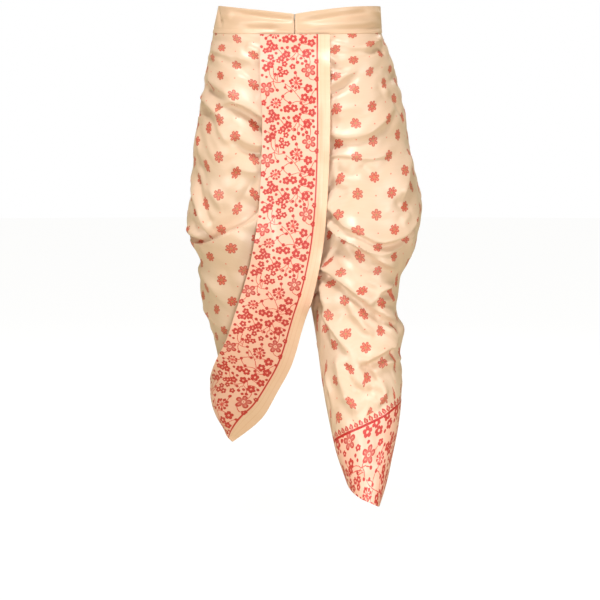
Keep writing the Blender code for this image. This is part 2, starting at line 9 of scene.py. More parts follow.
import bpy
import numpy as np
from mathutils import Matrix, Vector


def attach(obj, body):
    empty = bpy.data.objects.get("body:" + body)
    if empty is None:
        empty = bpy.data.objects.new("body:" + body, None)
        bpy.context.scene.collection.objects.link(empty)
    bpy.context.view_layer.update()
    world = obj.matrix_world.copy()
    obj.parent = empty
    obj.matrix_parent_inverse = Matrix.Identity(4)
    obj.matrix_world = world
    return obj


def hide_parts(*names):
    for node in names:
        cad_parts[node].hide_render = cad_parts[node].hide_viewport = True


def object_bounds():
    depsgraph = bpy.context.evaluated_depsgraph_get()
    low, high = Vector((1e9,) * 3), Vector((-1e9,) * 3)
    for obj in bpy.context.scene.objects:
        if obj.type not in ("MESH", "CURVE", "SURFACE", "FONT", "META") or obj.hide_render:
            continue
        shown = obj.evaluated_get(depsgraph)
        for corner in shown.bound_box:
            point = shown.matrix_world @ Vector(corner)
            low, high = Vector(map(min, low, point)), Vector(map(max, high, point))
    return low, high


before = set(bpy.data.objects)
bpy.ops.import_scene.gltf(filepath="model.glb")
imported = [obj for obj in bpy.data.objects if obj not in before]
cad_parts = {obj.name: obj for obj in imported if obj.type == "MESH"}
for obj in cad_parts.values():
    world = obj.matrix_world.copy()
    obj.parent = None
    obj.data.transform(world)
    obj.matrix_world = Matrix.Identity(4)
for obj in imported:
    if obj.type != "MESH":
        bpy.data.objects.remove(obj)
cad_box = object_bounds()

# ---------------------------------------------------------------------------------------
# Camera: a long lens 4.6 m in front of the waist, a little below it, tipped slightly down
# so that the hems and the floor under them come into the square frame.
CAMERA_DISTANCE = 4.6
CAMERA_HEIGHT = -0.1795
IMAGE_SIDE = 600
HORIZON_ROW = 113
FOCAL_PIXELS = 2390
SENSOR_WIDTH = 36.0

bpy.ops.object.select_all(action="DESELECT")
tip = math.atan((IMAGE_SIDE / 2 - HORIZON_ROW) / FOCAL_PIXELS)
bpy.ops.object.camera_add(location=(0, -CAMERA_DISTANCE, CAMERA_HEIGHT),
                          rotation=(math.pi / 2 - tip, 0, 0))
camera = bpy.context.object
camera.name = "camera"
camera.data.sensor_width = SENSOR_WIDTH
camera.data.lens = FOCAL_PIXELS * SENSOR_WIDTH / IMAGE_SIDE
bpy.context.scene.camera = camera
bpy.context.scene.view_settings.view_transform = "Standard"

# ---------------------------------------------------------------------------------------
# Studio: a pale floor a little below the hems under an even white sky, four far softboxes
# and a small near one low in front, and a world that is brighter below than above, as a
# pale floor throws warm light up.
FLOOR_DROP = 0.075
FLOOR_RADIUS = 14.0
FLOOR_SIDES = 96
SKY_RADIUS = 30.0
SKY_SIDES = 64
STAGE_COLOUR = "#FFFFFF"
# How strongly the floor and the sky glow, and how much of the lamps' light they give back
FLOOR_GLOW = 0.955
FLOOR_WHITENESS = 0.1
SKY_GLOW = 1.0
SKY_WHITENESS = 0.0
# The world's strength overhead and underfoot, and the height over which it changes
WORLD_ABOVE = 0.20
WORLD_BELOW = 0.52
WORLD_BLEND = (-0.8, 0.8)
WORLD_WARMTH = "#FFF3B9"
# name, place, size and watts of each lamp, all turned to the middle of the pants
LAMPS = (
    ("left", (-4.8, -3.9, 0.4), 1.5, 122.0),
    ("right", (5.0, -3.5, 0.9), 1.5, 112.0),
    ("overhead", (-0.6, -2.4, 4.2), 1.2, 190.0),
    ("low", (0.2, -1.8, -1.1), 0.7, 15.0),
    ("back", (0.6, 3.2, 1.4), 1.8, 34.0),
)
LAMP_TARGET = (0.0, 0.0, -0.45)


def linear(colour):
    """A colour written as sRGB hex, in the linear values that shaders take."""
    parts = [int(colour[i:i + 2], 16) / 255 for i in (1, 3, 5)]
    return (*[p / 12.92 if p <= 0.04045 else ((p + 0.055) / 1.055) ** 2.4 for p in parts], 1.0)


def add_node(tree, kind, *values, at=None, out=0, **settings):
    """Adds a node, named with its operation after a colon, with its settings, fills or
    links its inputs in order or by number, and gives one of its outputs."""
    kind, _, operation = kind.partition(":")
    node = tree.nodes.new("ShaderNode" + kind)
    if operation:
        node.operation = operation
    for name, value in settings.items():
        setattr(node, name, value)
    for socket, value in {**dict(enumerate(values)), **(at or {})}.items():
        if isinstance(value, bpy.types.NodeSocket):
            tree.links.new(value, node.inputs[socket])
        else:
            node.inputs[socket].default_value = value
    return node.outputs[out]


def glowing_stage(name, glow, whiteness):
    """A matt surface that glows white, as a floor or a sky lit from all round does."""
    material = bpy.data.materials.new(name)
    material.use_nodes = True
    shader = material.node_tree.nodes["Principled BSDF"]
    shader.inputs["Base Color"].default_value = (whiteness, whiteness, whiteness, 1.0)
    shader.inputs["Roughness"].default_value = 1.0
    shader.inputs["Specular IOR Level"].default_value = 0.0
    shader.inputs["Emission Color"].default_value = linear(STAGE_COLOUR)
    shader.inputs["Emission Strength"].default_value = glow
    return material


bpy.ops.object.select_all(action="DESELECT")
bpy.ops.mesh.primitive_circle_add(vertices=FLOOR_SIDES, radius=FLOOR_RADIUS, fill_type="NGON",
                                  location=(0, 0, cad_box[0][2] - FLOOR_DROP))
floor = bpy.context.object
floor.name = "floor"
bpy.ops.object.select_all(action="DESELECT")
bpy.ops.mesh.primitive_uv_sphere_add(segments=SKY_SIDES, ring_count=SKY_SIDES // 2,
                                     radius=SKY_RADIUS)
sky = bpy.context.object
sky.name = "sky"
for stage, glow, whiteness in ((floor, FLOOR_GLOW, FLOOR_WHITENESS),
                               (sky, SKY_GLOW, SKY_WHITENESS)):
    stage.data.materials.append(glowing_stage("matt_white_" + stage.name, glow, whiteness))
    stage.visible_diffuse = False
    stage.visible_glossy = False
    stage.visible_shadow = False

for name, place, size, watts in LAMPS:
    bpy.ops.object.select_all(action="DESELECT")
    bpy.ops.object.light_add(type="AREA", location=place)
    lamp = bpy.context.object
    lamp.name = name + "_softbox"
    lamp.data.shape = "DISK"
    lamp.data.size = size
    lamp.data.energy = watts
    way = np.array(LAMP_TARGET) - np.array(place)
    flat = math.hypot(way[0], way[1])
    lamp.rotation_euler = (math.atan2(flat, -way[2]), 0, math.atan2(-way[0], way[1]))

world = bpy.context.scene.world or bpy.data.worlds.new("studio")
bpy.context.scene.world = world
world.use_nodes = True
tree = world.node_tree
height = add_node(tree, "SeparateXYZ", add_node(tree, "TexCoord"), out=2)
glow = add_node(tree, "MapRange", height, *WORLD_BLEND, WORLD_BELOW, WORLD_ABOVE)
tree.links.new(glow, tree.nodes["Background"].inputs["Strength"])
tree.nodes["Background"].inputs["Color"].default_value = linear(WORLD_WARMTH)

# ---------------------------------------------------------------------------------------
# The two legs: each is a front and a back of thin polyester satin, printed with small
# coral stars and dots, cut wide and draped in swags from a low crotch to narrow shins.
# They meet at the side, at the inside seam and at the waist seam under the band.
MM = 0.001
LEG_CLOTH = 1.1 * MM
SEAM_GAP = 0.3 * MM
SEAM_PINCH = 0.12 * MM
FRONT_COLUMNS = 112
BACK_COLUMNS = 92
LEG_ROWS = 262
SIDE_FULLNESS = 0.9
WAIST_SEAM_HEIGHT = -26.0 * MM
# The folds and the unevenness fade in over this share of a face from the side and inside
# seams, and over this length below the waist seam
SEAM_HOLD = 0.12
WAIST_HOLD = 22.0 * MM
# How finely the plain leg is measured: places on half a section, heights and even shares
# of the section's length, and places across one face of the whole leg
SECTION_MARKS = 81
SECTION_HEIGHTS = 140
SECTION_SHARES = 49
FACE_SHARES = 65
# Keeps a place at the end of a table inside the table's last cell
LAST_CELL = 1.001
TINY = 1e-9

# The seam between the two legs: its height, its x, and its y at the front and the back
CROTCH_HEIGHT = -552 * MM
CENTRE_SEAM = (
    (-29, -10, -112, 108), (-60, -10, -120, 117), (-100, -9, -126, 127),
    (-175, -8, -130, 134), (-250, -6, -128, 133), (-305, -3, -121, 126),
    (-365, 2, -110, 114), (-424, 8, -93, 96), (-480, 14, -68, 71),
    (-525, 18, -38, 35), (-545, 20, -22, 8), (-552, 21, -12, -12),
)
# The inside seam of each leg below the crotch: its height, x and y
LEFT_INSEAM = ((-552, 21, -12), (-590, 28, -44), (-630, 34, -68), (-690, 42, -94),
               (-760, 55, -118), (-820, 69, -134), (-880, 90, -146), (-925, 103, -152))
RIGHT_INSEAM = ((-552, 21, -12), (-575, 5, 22), (-600, -8, 50), (-650, -28, 80),
                (-700, -48, 100), (-750, -66, 120), (-800, -84, 142), (-840, -90, 152))
# Sections of each leg: where its front, side and back lie, and closed, which is 0 where
# the legs share one ring and 1 where the leg is a tube
SECTION_COLUMNS = ("z", "front_x", "front_y", "side_x", "side_y", "back_x", "back_y", "closed")
LEFT_LEG = (
    (-29, 50, -109, 156, 0, 50, 106, 0.0),
    (-60, 58, -119, 169, 0, 58, 122, 0.0),
    (-100, 66, -128, 181, 2, 70, 136, 0.0),
    (-175, 80, -146, 200, 2, 85, 150, 0.0),
    (-250, 95, -160, 211, 0, 95, 150, 0.0),
    (-300, 102, -168, 222, -2, 100, 143, 0.0),
    (-357, 108, -174, 233, -8, 105, 132, 0.0),
    (-423, 108, -178, 222, -25, 105, 114, 0.05),
    (-462, 107, -179, 208, -39, 101, 97, 0.25),
    (-492, 105, -180, 190, -48, 99, 82, 0.5),
    (-525, 104, -180, 186, -60, 98, 64, 0.9),
    (-545, 103, -181, 184, -67, 97, 50, 1.0),
    (-568, 103, -182, 187, -73, 98, 33, 1.0),
    (-590, 104, -184, 198, -78, 99, 18, 1.0),
    (-609, 104, -185, 194, -82, 101, 10, 1.0),
    (-630, 105, -187, 190, -86, 104, 4, 1.0),
    (-690, 109, -191, 193, -102, 110, -14, 1.0),
    (-760, 116, -196, 187, -117, 116, -36, 1.0),
    (-820, 121, -201, 175, -130, 122, -60, 1.0),
    (-880, 128, -207, 161, -141, 127, -84, 1.0),
    (-925, 132, -210, 146, -148, 130, -100, 1.0),
)
RIGHT_LEG = (
    (-29, -65, -108, -166, 0, -65, 106, 0.0),
    (-60, -72, -118, -172, 2, -72, 124, 0.0),
    (-100, -80, -126, -180, 5, -80, 140, 0.0),
    (-175, -92, -136, -192, 10, -92, 154, 0.0),
    (-250, -100, -138, -205, 14, -100, 160, 0.0),
    (-310, -104, -132, -203, 18, -104, 160, 0.0),
    (-374, -106, -120, -218, 25, -106, 160, 0.0),
    (-410, -106, -110, -213, 31, -106, 161, 0.02),
    (-430, -106, -104, -202, 35, -106, 162, 0.05),
    (-448, -105, -98, -193, 39, -105, 164, 0.12),
    (-466, -105, -92, -187, 43, -104, 166, 0.26),
    (-490, -104, -84, -190, 49, -103, 170, 0.52),
    (-525, -102, -70, -189, 58, -102, 177, 0.9),
    (-545, -100, -62, -185, 64, -100, 182, 1.0),
    (-600, -96, -38, -172, 76, -96, 191, 1.0),
    (-650, -99, -8, -162, 91, -99, 198, 1.0),
    (-700, -106, 28, -158, 110, -108, 204, 1.0),
    (-750, -110, 64, -152, 130, -112, 208, 1.0),
    (-800, -114, 94, -144, 150, -116, 211, 1.0),
    (-840, -116, 112, -140, 160, -117, 211, 1.0),
)
# Where each piece starts and ends, round a leg: 0 is the inside seam, 1 the side seam and
# 2 the inside seam again, by way of the back
WAIST_SEAM = ((0.0, -32.0), (0.5, -29.8), (1.0, -25.3), (1.5, -28.0), (2.0, -32.0))
LEFT_BORDER_TOP = ((0.0, -801), (0.3, -776), (0.6, -747), (0.85, -723), (1.0, -718),
                   (1.2, -722), (1.5, -750), (1.8, -787), (2.0, -801))
RIGHT_HEM = ((0.0, -752), (0.5, -776), (1.0, -800), (1.5, -790), (2.0, -752))

# The folds of each leg: the face its places are read on ("front" and "back" give x and z,
# "round" gives how far round and z), its height, its width on its left and on its right
# when it is walked from its first place, the shares of its length over which it rises and
# dies away, how far it hangs down for its height, and its places. Ridges stand up and
# creases, with a height below 0, sink in.
LEFT_FOLDS = (
    ("front", 5, 8, 6, 0.2, 0.2, 0.1, ((56, -50), (90, -57), (121, -55), (153, -32))),
    ("front", -3, 5, 5, 0.2, 0.3, 0.0, ((56, -36), (72, -44), (92, -46))),
    ("front", 3, 6, 5, 0.2, 0.2, 0.0, ((112, -66), (143, -44), (155, -28))),
    ("front", -3, 6, 5, 0.2, 0.2, 0.0, ((134, -60), (150, -56), (162, -72))),
    ("front", 3, 5, 4, 0.1, 0.4, 0.0, ((52, -72), (62, -79), (74, -92))),
    ("front", -3, 5, 5, 0.1, 0.4, 0.0, ((52, -90), (71, -98), (86, -95))),
    ("front", 2, 6, 5, 0.2, 0.4, 0.0, ((56, -103), (77, -110), (98, -99))),
    ("front", 5, 8, 6, 0.1, 0.5, 0.1, ((50, -132), (86, -111), (116, -88))),
    ("front", -6, 9, 8, 0.1, 0.5, 0.0, ((46, -150), (84, -128), (114, -104))),
    ("front", -4, 8, 8, 0.3, 0.3, 0.0, ((139, -134), (169, -121), (187, -100))),
    ("front", 3, 7, 6, 0.3, 0.4, 0.0, ((145, -118), (157, -132), (170, -150))),
    ("front", -3, 7, 6, 0.3, 0.4, 0.0, ((170, -146), (192, -183), (199, -210))),
    ("front", 3, 10, 8, 0.2, 0.4, 0.0, ((56, -186), (77, -178), (120, -164), (158, -138))),
    ("front", 8, 13, 7, 0.06, 0.4, 0.25,
     ((46, -212), (71, -221), (97, -222), (126, -215), (147, -199), (166, -178), (183, -160))),
    ("front", -5, 12, 14, 0.1, 0.6, 0.0, ((44, -240), (72, -244), (110, -240))),
    ("front", 3.5, 7, 2.5, 0.08, 0.25, 0.2,
     ((46, -260), (85, -258), (105, -262), (131, -264), (158, -258), (180, -254))),
    ("front", -3, 8, 8, 0.2, 0.5, 0.0, ((60, -284), (89, -293), (125, -285))),
    ("front", -3, 7, 7, 0.2, 0.4, 0.0, ((112, -272), (127, -291), (145, -306))),
    ("front", -4, 9, 9, 0.1, 0.5, 0.0, ((50, -312), (82, -324), (108, -322))),
    ("front", 11, 4, 26, 0.3, 0.2, 0.0,
     ((203, -240), (202, -269), (195, -317), (188, -348))),
    ("front", -4, 6, 6, 0.3, 0.3, 0.0, ((175, -338), (190, -356), (208, -349))),
    ("front", 3, 6, 6, 0.3, 0.3, 0.0, ((186, -384), (194, -375), (203, -362))),
    ("front", 13, 16, 6, 0.05, 0.2, 0.45,
     ((40, -332), (68, -360), (89, -381), (118, -398), (142, -411), (166, -411),
      (191, -400), (210, -381), (226, -352))),
    ("front", 5, 6, 4, 0.15, 0.2, 0.3,
     ((60, -386), (84, -406), (119, -424), (154, -435), (191, -423), (212, -403), (222, -386))),
    ("front", 14, 13, 6, 0.05, 0.2, 0.45,
     ((36, -362), (68, -390), (97, -410), (124, -430), (148, -448), (183, -472))),
    ("front", -4, 9, 9, 0.2, 0.3, 0.0, ((56, -420), (86, -448), (116, -470), (150, -486))),
    ("front", 4, 8, 5, 0.2, 0.3, 0.2, ((62, -436), (109, -478), (147, -501), (176, -494))),
    ("front", 16, 15, 6, 0.04, 0.22, 0.4,
     ((32, -450), (62, -473), (87, -491), (109, -511), (132, -532), (161, -556),
      (187, -576))),
    ("front", 10, 8, 6, 0.3, 0.5, 0.2, ((132, -522), (150, -506), (166, -499), (178, -496))),
    ("front", 5, 6, 4, 0.2, 0.3, 0.1, ((134, -523), (160, -528), (182, -526))),
    ("front", -6, 7, 7, 0.2, 0.3, 0.0, ((130, -524), (141, -544), (151, -562))),
    ("front", 12, 15, 6, 0.08, 0.3, 0.15,
     ((34, -472), (46, -507), (51, -545), (56, -563), (68, -584), (87, -615), (104, -640))),
    ("front", -7, 8, 8, 0.1, 0.4, 0.0,
     ((30, -500), (38, -535), (43, -570), (52, -600), (64, -628))),
    ("front", 7, 8, 6, 0.2, 0.4, 0.1, ((84, -520), (100, -548), (124, -580), (140, -600))),
    ("front", 12, 14, 6, 0.25, 0.3, 0.35,
     ((100, -638), (112, -639), (136, -627), (161, -614), (187, -604))),
    ("front", 4, 6, 5, 0.3, 0.4, 0.1, ((150, -566), (170, -581), (182, -588))),
    ("front", -9, 8, 9, 0.2, 0.4, 0.0, ((112, -640), (134, -664), (156, -690))),
    ("front", -8, 9, 9, 0.3, 0.3, 0.0, ((90, -682), (126, -698), (150, -690))),
    ("front", 7, 8, 6, 0.2, 0.3, 0.1, ((128, -644), (144, -670), (156, -697), (161, -722))),
    ("front", 4, 7, 6, 0.3, 0.3, 0.0, ((135, -650), (160, -646), (190, -638))),
    ("front", 5, 8, 7, 0.3, 0.4, 0.0, ((40, -516), (51, -572), (60, -618))),
    ("front", 5, 9, 9, 0.2, 0.4, 0.0, ((66, -626), (73, -655), (80, -690), (88, -720))),
    ("front", -4, 9, 9, 0.3, 0.4, 0.0, ((84, -640), (90, -668), (98, -694))),
    ("front", 4, 7, 6, 0.3, 0.4, 0.0, ((47, -655), (57, -705), (66, -742))),
    ("front", 4, 9, 7, 0.3, 0.4, 0.0, ((78, -700), (96, -720), (114, -738))),
    ("front", -4, 8, 8, 0.3, 0.4, 0.0, ((166, -694), (155, -720), (140, -738))),
    ("front", 4, 12, 12, 0.3, 0.2, 0.0, ((104, -752), (113, -802), (126, -862))),
    ("front", -3, 10, 10, 0.3, 0.3, 0.0, ((140, -760), (146, -800), (146, -840))),
    ("round", 6, 13, 10, 0.3, 0.4, 0.1, ((1.02, -345), (1.16, -285), (1.3, -205))),
    ("back", 4, 10, 9, 0.3, 0.3, 0.0, ((150, -60), (120, -110), (100, -170))),
    ("back", -3, 8, 8, 0.3, 0.4, 0.0, ((110, -45), (80, -80), (62, -125))),
    ("back", 3, 8, 7, 0.3, 0.3, 0.0, ((70, -60), (46, -110), (34, -170))),
    ("back", 4, 9, 7, 0.3, 0.3, 0.1, ((196, -190), (150, -232), (90, -240), (30, -215))),
    ("back", 9, 15, 7, 0.2, 0.3, 0.35,
     ((205, -250), (160, -310), (105, -335), (50, -320), (15, -290))),
    ("back", -4, 9, 9, 0.3, 0.4, 0.0, ((190, -310), (140, -350), (90, -362), (50, -350))),
    ("back", 11, 15, 7, 0.15, 0.3, 0.35,
     ((212, -330), (165, -385), (110, -410), (60, -395), (25, -360))),
    ("back", 5, 7, 5, 0.3, 0.4, 0.2, ((205, -380), (160, -425), (112, -446), (70, -438))),
    ("back", 12, 14, 7, 0.15, 0.3, 0.35,
     ((205, -410), (160, -455), (115, -480), (70, -475), (35, -445))),
    ("back", 10, 12, 6, 0.2, 0.3, 0.25, ((180, -505), (150, -540), (110, -555), (70, -545))),
    ("back", 5, 7, 5, 0.3, 0.4, 0.1, ((182, -548), (150, -578), (116, -588))),
    ("back", 8, 11, 6, 0.2, 0.2, 0.2, ((185, -592), (140, -622), (100, -615), (60, -590))),
    ("back", 6, 10, 7, 0.3, 0.3, 0.0, ((182, -680), (140, -705), (95, -690))),
    ("back", 4, 9, 8, 0.3, 0.3, 0.0, ((150, -640), (128, -690), (120, -740))),
    ("back", 3, 11, 11, 0.3, 0.3, 0.0, ((110, -740), (116, -800), (124, -850))),
)
RIGHT_FOLDS = (
    ("front", -4, 8, 6, 0.3, 0.3, 0.0, ((-167, -38), (-125, -47), (-87, -53))),
    ("front", 5, 9, 6, 0.3, 0.2, 0.1, ((-170, -59), (-142, -68), (-103, -80), (-70, -93))),
    ("front", -3, 6, 6, 0.2, 0.3, 0.0, ((-148, -62), (-128, -72), (-112, -86))),
    ("front", 3, 5, 5, 0.3, 0.3, 0.0, ((-104, -52), (-85, -63), (-68, -68))),
    ("front", -3, 6, 6, 0.3, 0.2, 0.0, ((-122, -84), (-101, -106), (-80, -124))),
    ("front", 3, 6, 5, 0.45, 0.3, 0.0, ((-176, -70), (-157, -79), (-138, -92))),
    ("front", 6, 10, 6, 0.4, 0.3, 0.1, ((-178, -108), (-159, -126), (-130, -140), (-108, -146))),
    ("front", -5, 8, 8, 0.2, 0.4, 0.0, ((-182, -128), (-162, -146), (-136, -158))),
    ("front", 7, 10, 6, 0.45, 0.4, 0.1, ((-187, -138), (-166, -168), (-137, -202))),
    ("front", -5, 8, 8, 0.2, 0.4, 0.0, ((-188, -162), (-172, -190), (-148, -220))),
    ("front", 13, 28, 5, 0.4, 0.1, 0.45,
     ((-156, -172), (-139, -160), (-124, -156), (-105, -162), (-88, -172), (-58, -192))),
    ("front", -6, 8, 12, 0.3, 0.1, 0.0,
     ((-134, -172), (-114, -176), (-96, -186), (-76, -202), (-56, -216))),
    ("front", 6, 12, 9, 0.3, 0.2, 0.15, ((-128, -210), (-95, -234), (-58, -238))),
    ("front", -5, 9, 10, 0.2, 0.2, 0.0, ((-122, -226), (-98, -250), (-60, -258))),
    ("front", 3, 8, 6, 0.3, 0.4, 0.0, ((-160, -196), (-141, -225), (-122, -248))),
    ("front", 4, 8, 7, 0.3, 0.4, 0.0, ((-194, -200), (-190, -242), (-186, -280))),
    ("front", -3, 7, 7, 0.3, 0.4, 0.0, ((-200, -256), (-187, -282), (-176, -306))),
    ("front", 4, 10, 8, 0.3, 0.3, 0.0, ((-131, -268), (-107, -284), (-72, -288))),
    ("front", -4, 9, 9, 0.3, 0.3, 0.0, ((-76, -290), (-101, -330), (-120, -368))),
    ("front", 4, 8, 7, 0.3, 0.4, 0.0, ((-176, -312), (-158, -339), (-145, -372))),
    ("front", 10, 20, 5, 0.3, 0.1, 0.1,
     ((-206, -276), (-199, -322), (-190, -363), (-179, -396), (-163, -418))),
    ("front", -5, 7, 7, 0.3, 0.1, 0.0,
     ((-196, -286), (-188, -326), (-178, -362), (-166, -392))),
    ("front", 7, 8, 6, 0.3, 0.3, 0.1, ((-216, -392), (-200, -410), (-180, -420))),
    ("front", -6, 7, 7, 0.3, 0.2, 0.0, ((-208, -384), (-194, -400), (-176, -408))),
    ("round", 16, 60, 4, 0.12, 0.22, -0.8,
     ((0.18, -363), (0.24, -376), (0.35, -399), (0.47, -415), (0.57, -427), (0.65, -433),
      (0.76, -432), (0.86, -423), (0.96, -408))),
    ("round", -6, 8, 22, 0.1, 0.4, 0.0,
     ((0.2, -350), (0.3, -371), (0.42, -390), (0.56, -408), (0.7, -415), (0.84, -408))),
    ("front", 4, 12, 12, 0.3, 0.4, 0.0, ((-190, -470), (-160, -520), (-135, -560))),
    ("front", -3, 10, 10, 0.3, 0.4, 0.0, ((-144, -462), (-133, -502), (-130, -545))),
    ("front", 1.5, 9, 8, 0.3, 0.4, 0.0, ((-198, -440), (-192, -480), (-186, -510))),
    ("front", 4, 10, 9, 0.5, 0.4, 0.0, ((-188, -542), (-170, -576), (-150, -600))),
    ("front", -3, 10, 10, 0.3, 0.4, 0.0, ((-100, -560), (-112, -610), (-120, -660))),
    ("round", 4, 12, 8, 0.3, 0.3, 0.0, ((0.94, -480), (0.9, -560), (0.86, -640))),
    ("back", 4, 10, 9, 0.3, 0.3, 0.0, ((-20, -90), (-60, -130), (-110, -150))),
    ("back", -3, 8, 8, 0.3, 0.4, 0.0, ((-120, -50), (-90, -90), (-70, -130))),
    ("back", 3, 8, 7, 0.3, 0.3, 0.0, ((-150, -80), (-138, -130), (-140, -180))),
    ("back", 4, 9, 7, 0.3, 0.3, 0.1, ((0, -205), (-55, -232), (-110, -238), (-165, -215))),
    ("back", 9, 15, 7, 0.3, 0.2, 0.35,
     ((5, -270), (-50, -315), (-105, -335), (-160, -310), (-198, -255))),
    ("back", -4, 9, 9, 0.3, 0.4, 0.0, ((-20, -340), (-70, -362), (-120, -368), (-165, -350))),
    ("back", 11, 15, 7, 0.3, 0.15, 0.35,
     ((5, -345), (-50, -395), (-105, -415), (-160, -395), (-205, -335))),
    ("back", 5, 7, 5, 0.3, 0.4, 0.2, ((-30, -425), (-80, -452), (-130, -450), (-176, -420))),
    ("back", 12, 14, 7, 0.3, 0.15, 0.35,
     ((0, -430), (-50, -470), (-105, -490), (-155, -470), (-195, -430))),
    ("back", 10, 12, 6, 0.3, 0.2, 0.25, ((-10, -530), (-60, -560), (-110, -570), (-160, -550))),
    ("back", 5, 7, 5, 0.3, 0.4, 0.1, ((-40, -585), (-90, -605), (-140, -596))),
    ("back", 8, 11, 6, 0.3, 0.2, 0.2, ((-30, -620), (-75, -645), (-120, -650), (-155, -625))),
    ("back", 6, 10, 7, 0.3, 0.3, 0.0, ((-60, -700), (-100, -725), (-140, -710))),
    ("back", 4, 9, 8, 0.3, 0.3, 0.0, ((-96, -660), (-110, -710), (-112, -770))),
)


def smooth_between(known, values, wanted):
    """Reads a smooth curve through the known rows at the wanted places."""
    known = np.asarray(known, float)
    values = np.asarray(values, float)
    slopes = np.gradient(values, known)
    wanted = np.clip(wanted, known[0], known[-1])
    low = np.clip(np.searchsorted(known, wanted, side="right") - 1, 0, len(known) - 2)
    span = known[low + 1] - known[low]
    t = (wanted - known[low]) / span
    return (values[low] * (1 + 2 * t) * (1 - t) ** 2 + slopes[low] * span * t * (1 - t) ** 2
            + values[low + 1] * t * t * (3 - 2 * t) + slopes[low + 1] * span * t * t * (t - 1))


def read_table(rows, names, z):
    """The columns of a table at the heights z, in metres but for plain shares."""
    rows = np.array(rows, float)[::-1]
    return {name: smooth_between(rows[:, 0] * MM,
                                 rows[:, index] * (1.0 if name == "closed" else MM), z)
            for index, name in enumerate(names)}


def leg_sections(leg, z):
    """Where the seams and the crowns of a leg lie at the heights z."""
    columns = read_table(leg.rows, SECTION_COLUMNS, z)
    centre = read_table(CENTRE_SEAM, ("z", "x", "front_y", "back_y"), z)
    inside = read_table(leg.inseam, ("z", "x", "y"), z)
    above = z >= CROTCH_HEIGHT
    seam_x = np.where(above, centre["x"], inside["x"])
    columns["seam_x"] = seam_x + leg.outward * SEAM_GAP / 2
    columns["front_seam_y"] = np.where(above, centre["front_y"], inside["y"])
    columns["back_seam_y"] = np.where(above, centre["back_y"], inside["y"])
    return columns


def section_point(columns, half, mark):
    """A point of the section: mark runs from -1 at the inside seam by 0 at the crown to 1."""
    seam_x, seam_y = columns["seam_x"], columns[half + "_seam_y"]
    crown_x, crown_y = columns[half + "_x"], columns[half + "_y"]
    side_x, side_y = columns["side_x"], columns["side_y"]
    inner = np.clip(1 + mark, 0, 1)
    ring_x = inner
    ring_y = (1 - np.cos(inner * math.pi)) / 2
    tube_x = 1 - np.cos(inner * math.pi / 2)
    tube_y = np.sin(inner * math.pi / 2)
    closed = columns["closed"]
    inner_x = seam_x + (crown_x - seam_x) * (ring_x + (tube_x - ring_x) * closed)
    inner_y = seam_y + (crown_y - seam_y) * (ring_y + (tube_y - ring_y) * closed)
    outer = np.clip(mark, 0, 1) * math.pi / 2
    outer_x = crown_x + (side_x - crown_x) * np.sin(outer) ** SIDE_FULLNESS
    outer_y = side_y + (crown_y - side_y) * np.cos(outer) ** SIDE_FULLNESS
    return np.where(mark < 0, inner_x, outer_x), np.where(mark < 0, inner_y, outer_y)


def even_marks(leg, half, heights, shares):
    """For each height, the places along the section at even shares of its length."""
    marks = np.linspace(-1, 1, SECTION_MARKS)
    grid_z, grid_mark = np.meshgrid(heights, marks, indexing="ij")
    x, y = section_point(leg_sections(leg, grid_z), half, grid_mark)
    steps = np.hypot(np.diff(x, axis=1), np.diff(y, axis=1))
    length = np.concatenate([np.zeros((len(heights), 1)), np.cumsum(steps, axis=1)], axis=1)
    return np.array([np.interp(shares * row[-1], row, marks) for row in length])


class Leg:
    """One leg's plain surface, read by how far round it is and how high."""

    def __init__(self, rows, inseam, outward):
        self.rows = rows
        self.inseam = inseam
        self.outward = outward
        self.heights = np.linspace(rows[-1][0] * MM, rows[0][0] * MM, SECTION_HEIGHTS)
        self.shares = np.linspace(0, 1, SECTION_SHARES)
        self.marks = {half: even_marks(self, half, self.heights, self.shares)
                      for half in ("front", "back")}

    def mark(self, half, share, z):
        """The place on the section at an even share of its length."""
        table = self.marks[half]
        row = (z - self.heights[0]) / (self.heights[1] - self.heights[0])
        row = np.clip(row, 0, len(self.heights) - LAST_CELL)
        column = np.clip(share, 0, 1) * (len(self.shares) - LAST_CELL)
        i, j = row.astype(int), column.astype(int)
        a, b = row - i, column - j
        return ((table[i, j] * (1 - b) + table[i, j + 1] * b) * (1 - a)
                + (table[i + 1, j] * (1 - b) + table[i + 1, j + 1] * b) * a)

    def point(self, around, z):
        """Points at around (0 inside seam, 1 side seam, 2 inside seam) and height z."""
        around = np.clip(around, 0, 2)
        columns = leg_sections(self, z)
        front = section_point(columns, "front", self.mark("front", around, z))
        back = section_point(columns, "back", self.mark("back", 2 - around, z))
        x = np.where(around <= 1, front[0], back[0])
        y = np.where(around <= 1, front[1], back[1])
        return np.stack([x, y, z], axis=-1)

    def normal(self, around, z):
        """The direction that points out of the leg."""
        step_round, step_down = 0.01, 1.5 * MM
        across = self.point(around + step_round, z) - self.point(around - step_round, z)
        down = self.point(around, z - step_down) - self.point(around, z + step_down)
        out = np.cross(down, across) * self.outward
        return out / np.maximum(np.linalg.norm(out, axis=-1, keepdims=True), TINY)

    def around_at(self, face, x, z):
        """How far round the leg the place is that lies at x and z on one face."""
        shares = np.linspace(0, 1, FACE_SHARES)
        around = shares if face == "front" else 2 - shares
        found = []
        for one_x, one_z in zip(x, z):
            xs = self.point(around, np.full(len(around), one_z))[:, 0] * self.outward
            found.append(np.interp(one_x * self.outward, np.maximum.accumulate(xs), around))
        return np.array(found)


# Along a fold, places lie this far apart, and there are at least so many of them
FOLD_STEP = 2.5 * MM
FOLD_PLACES = 6


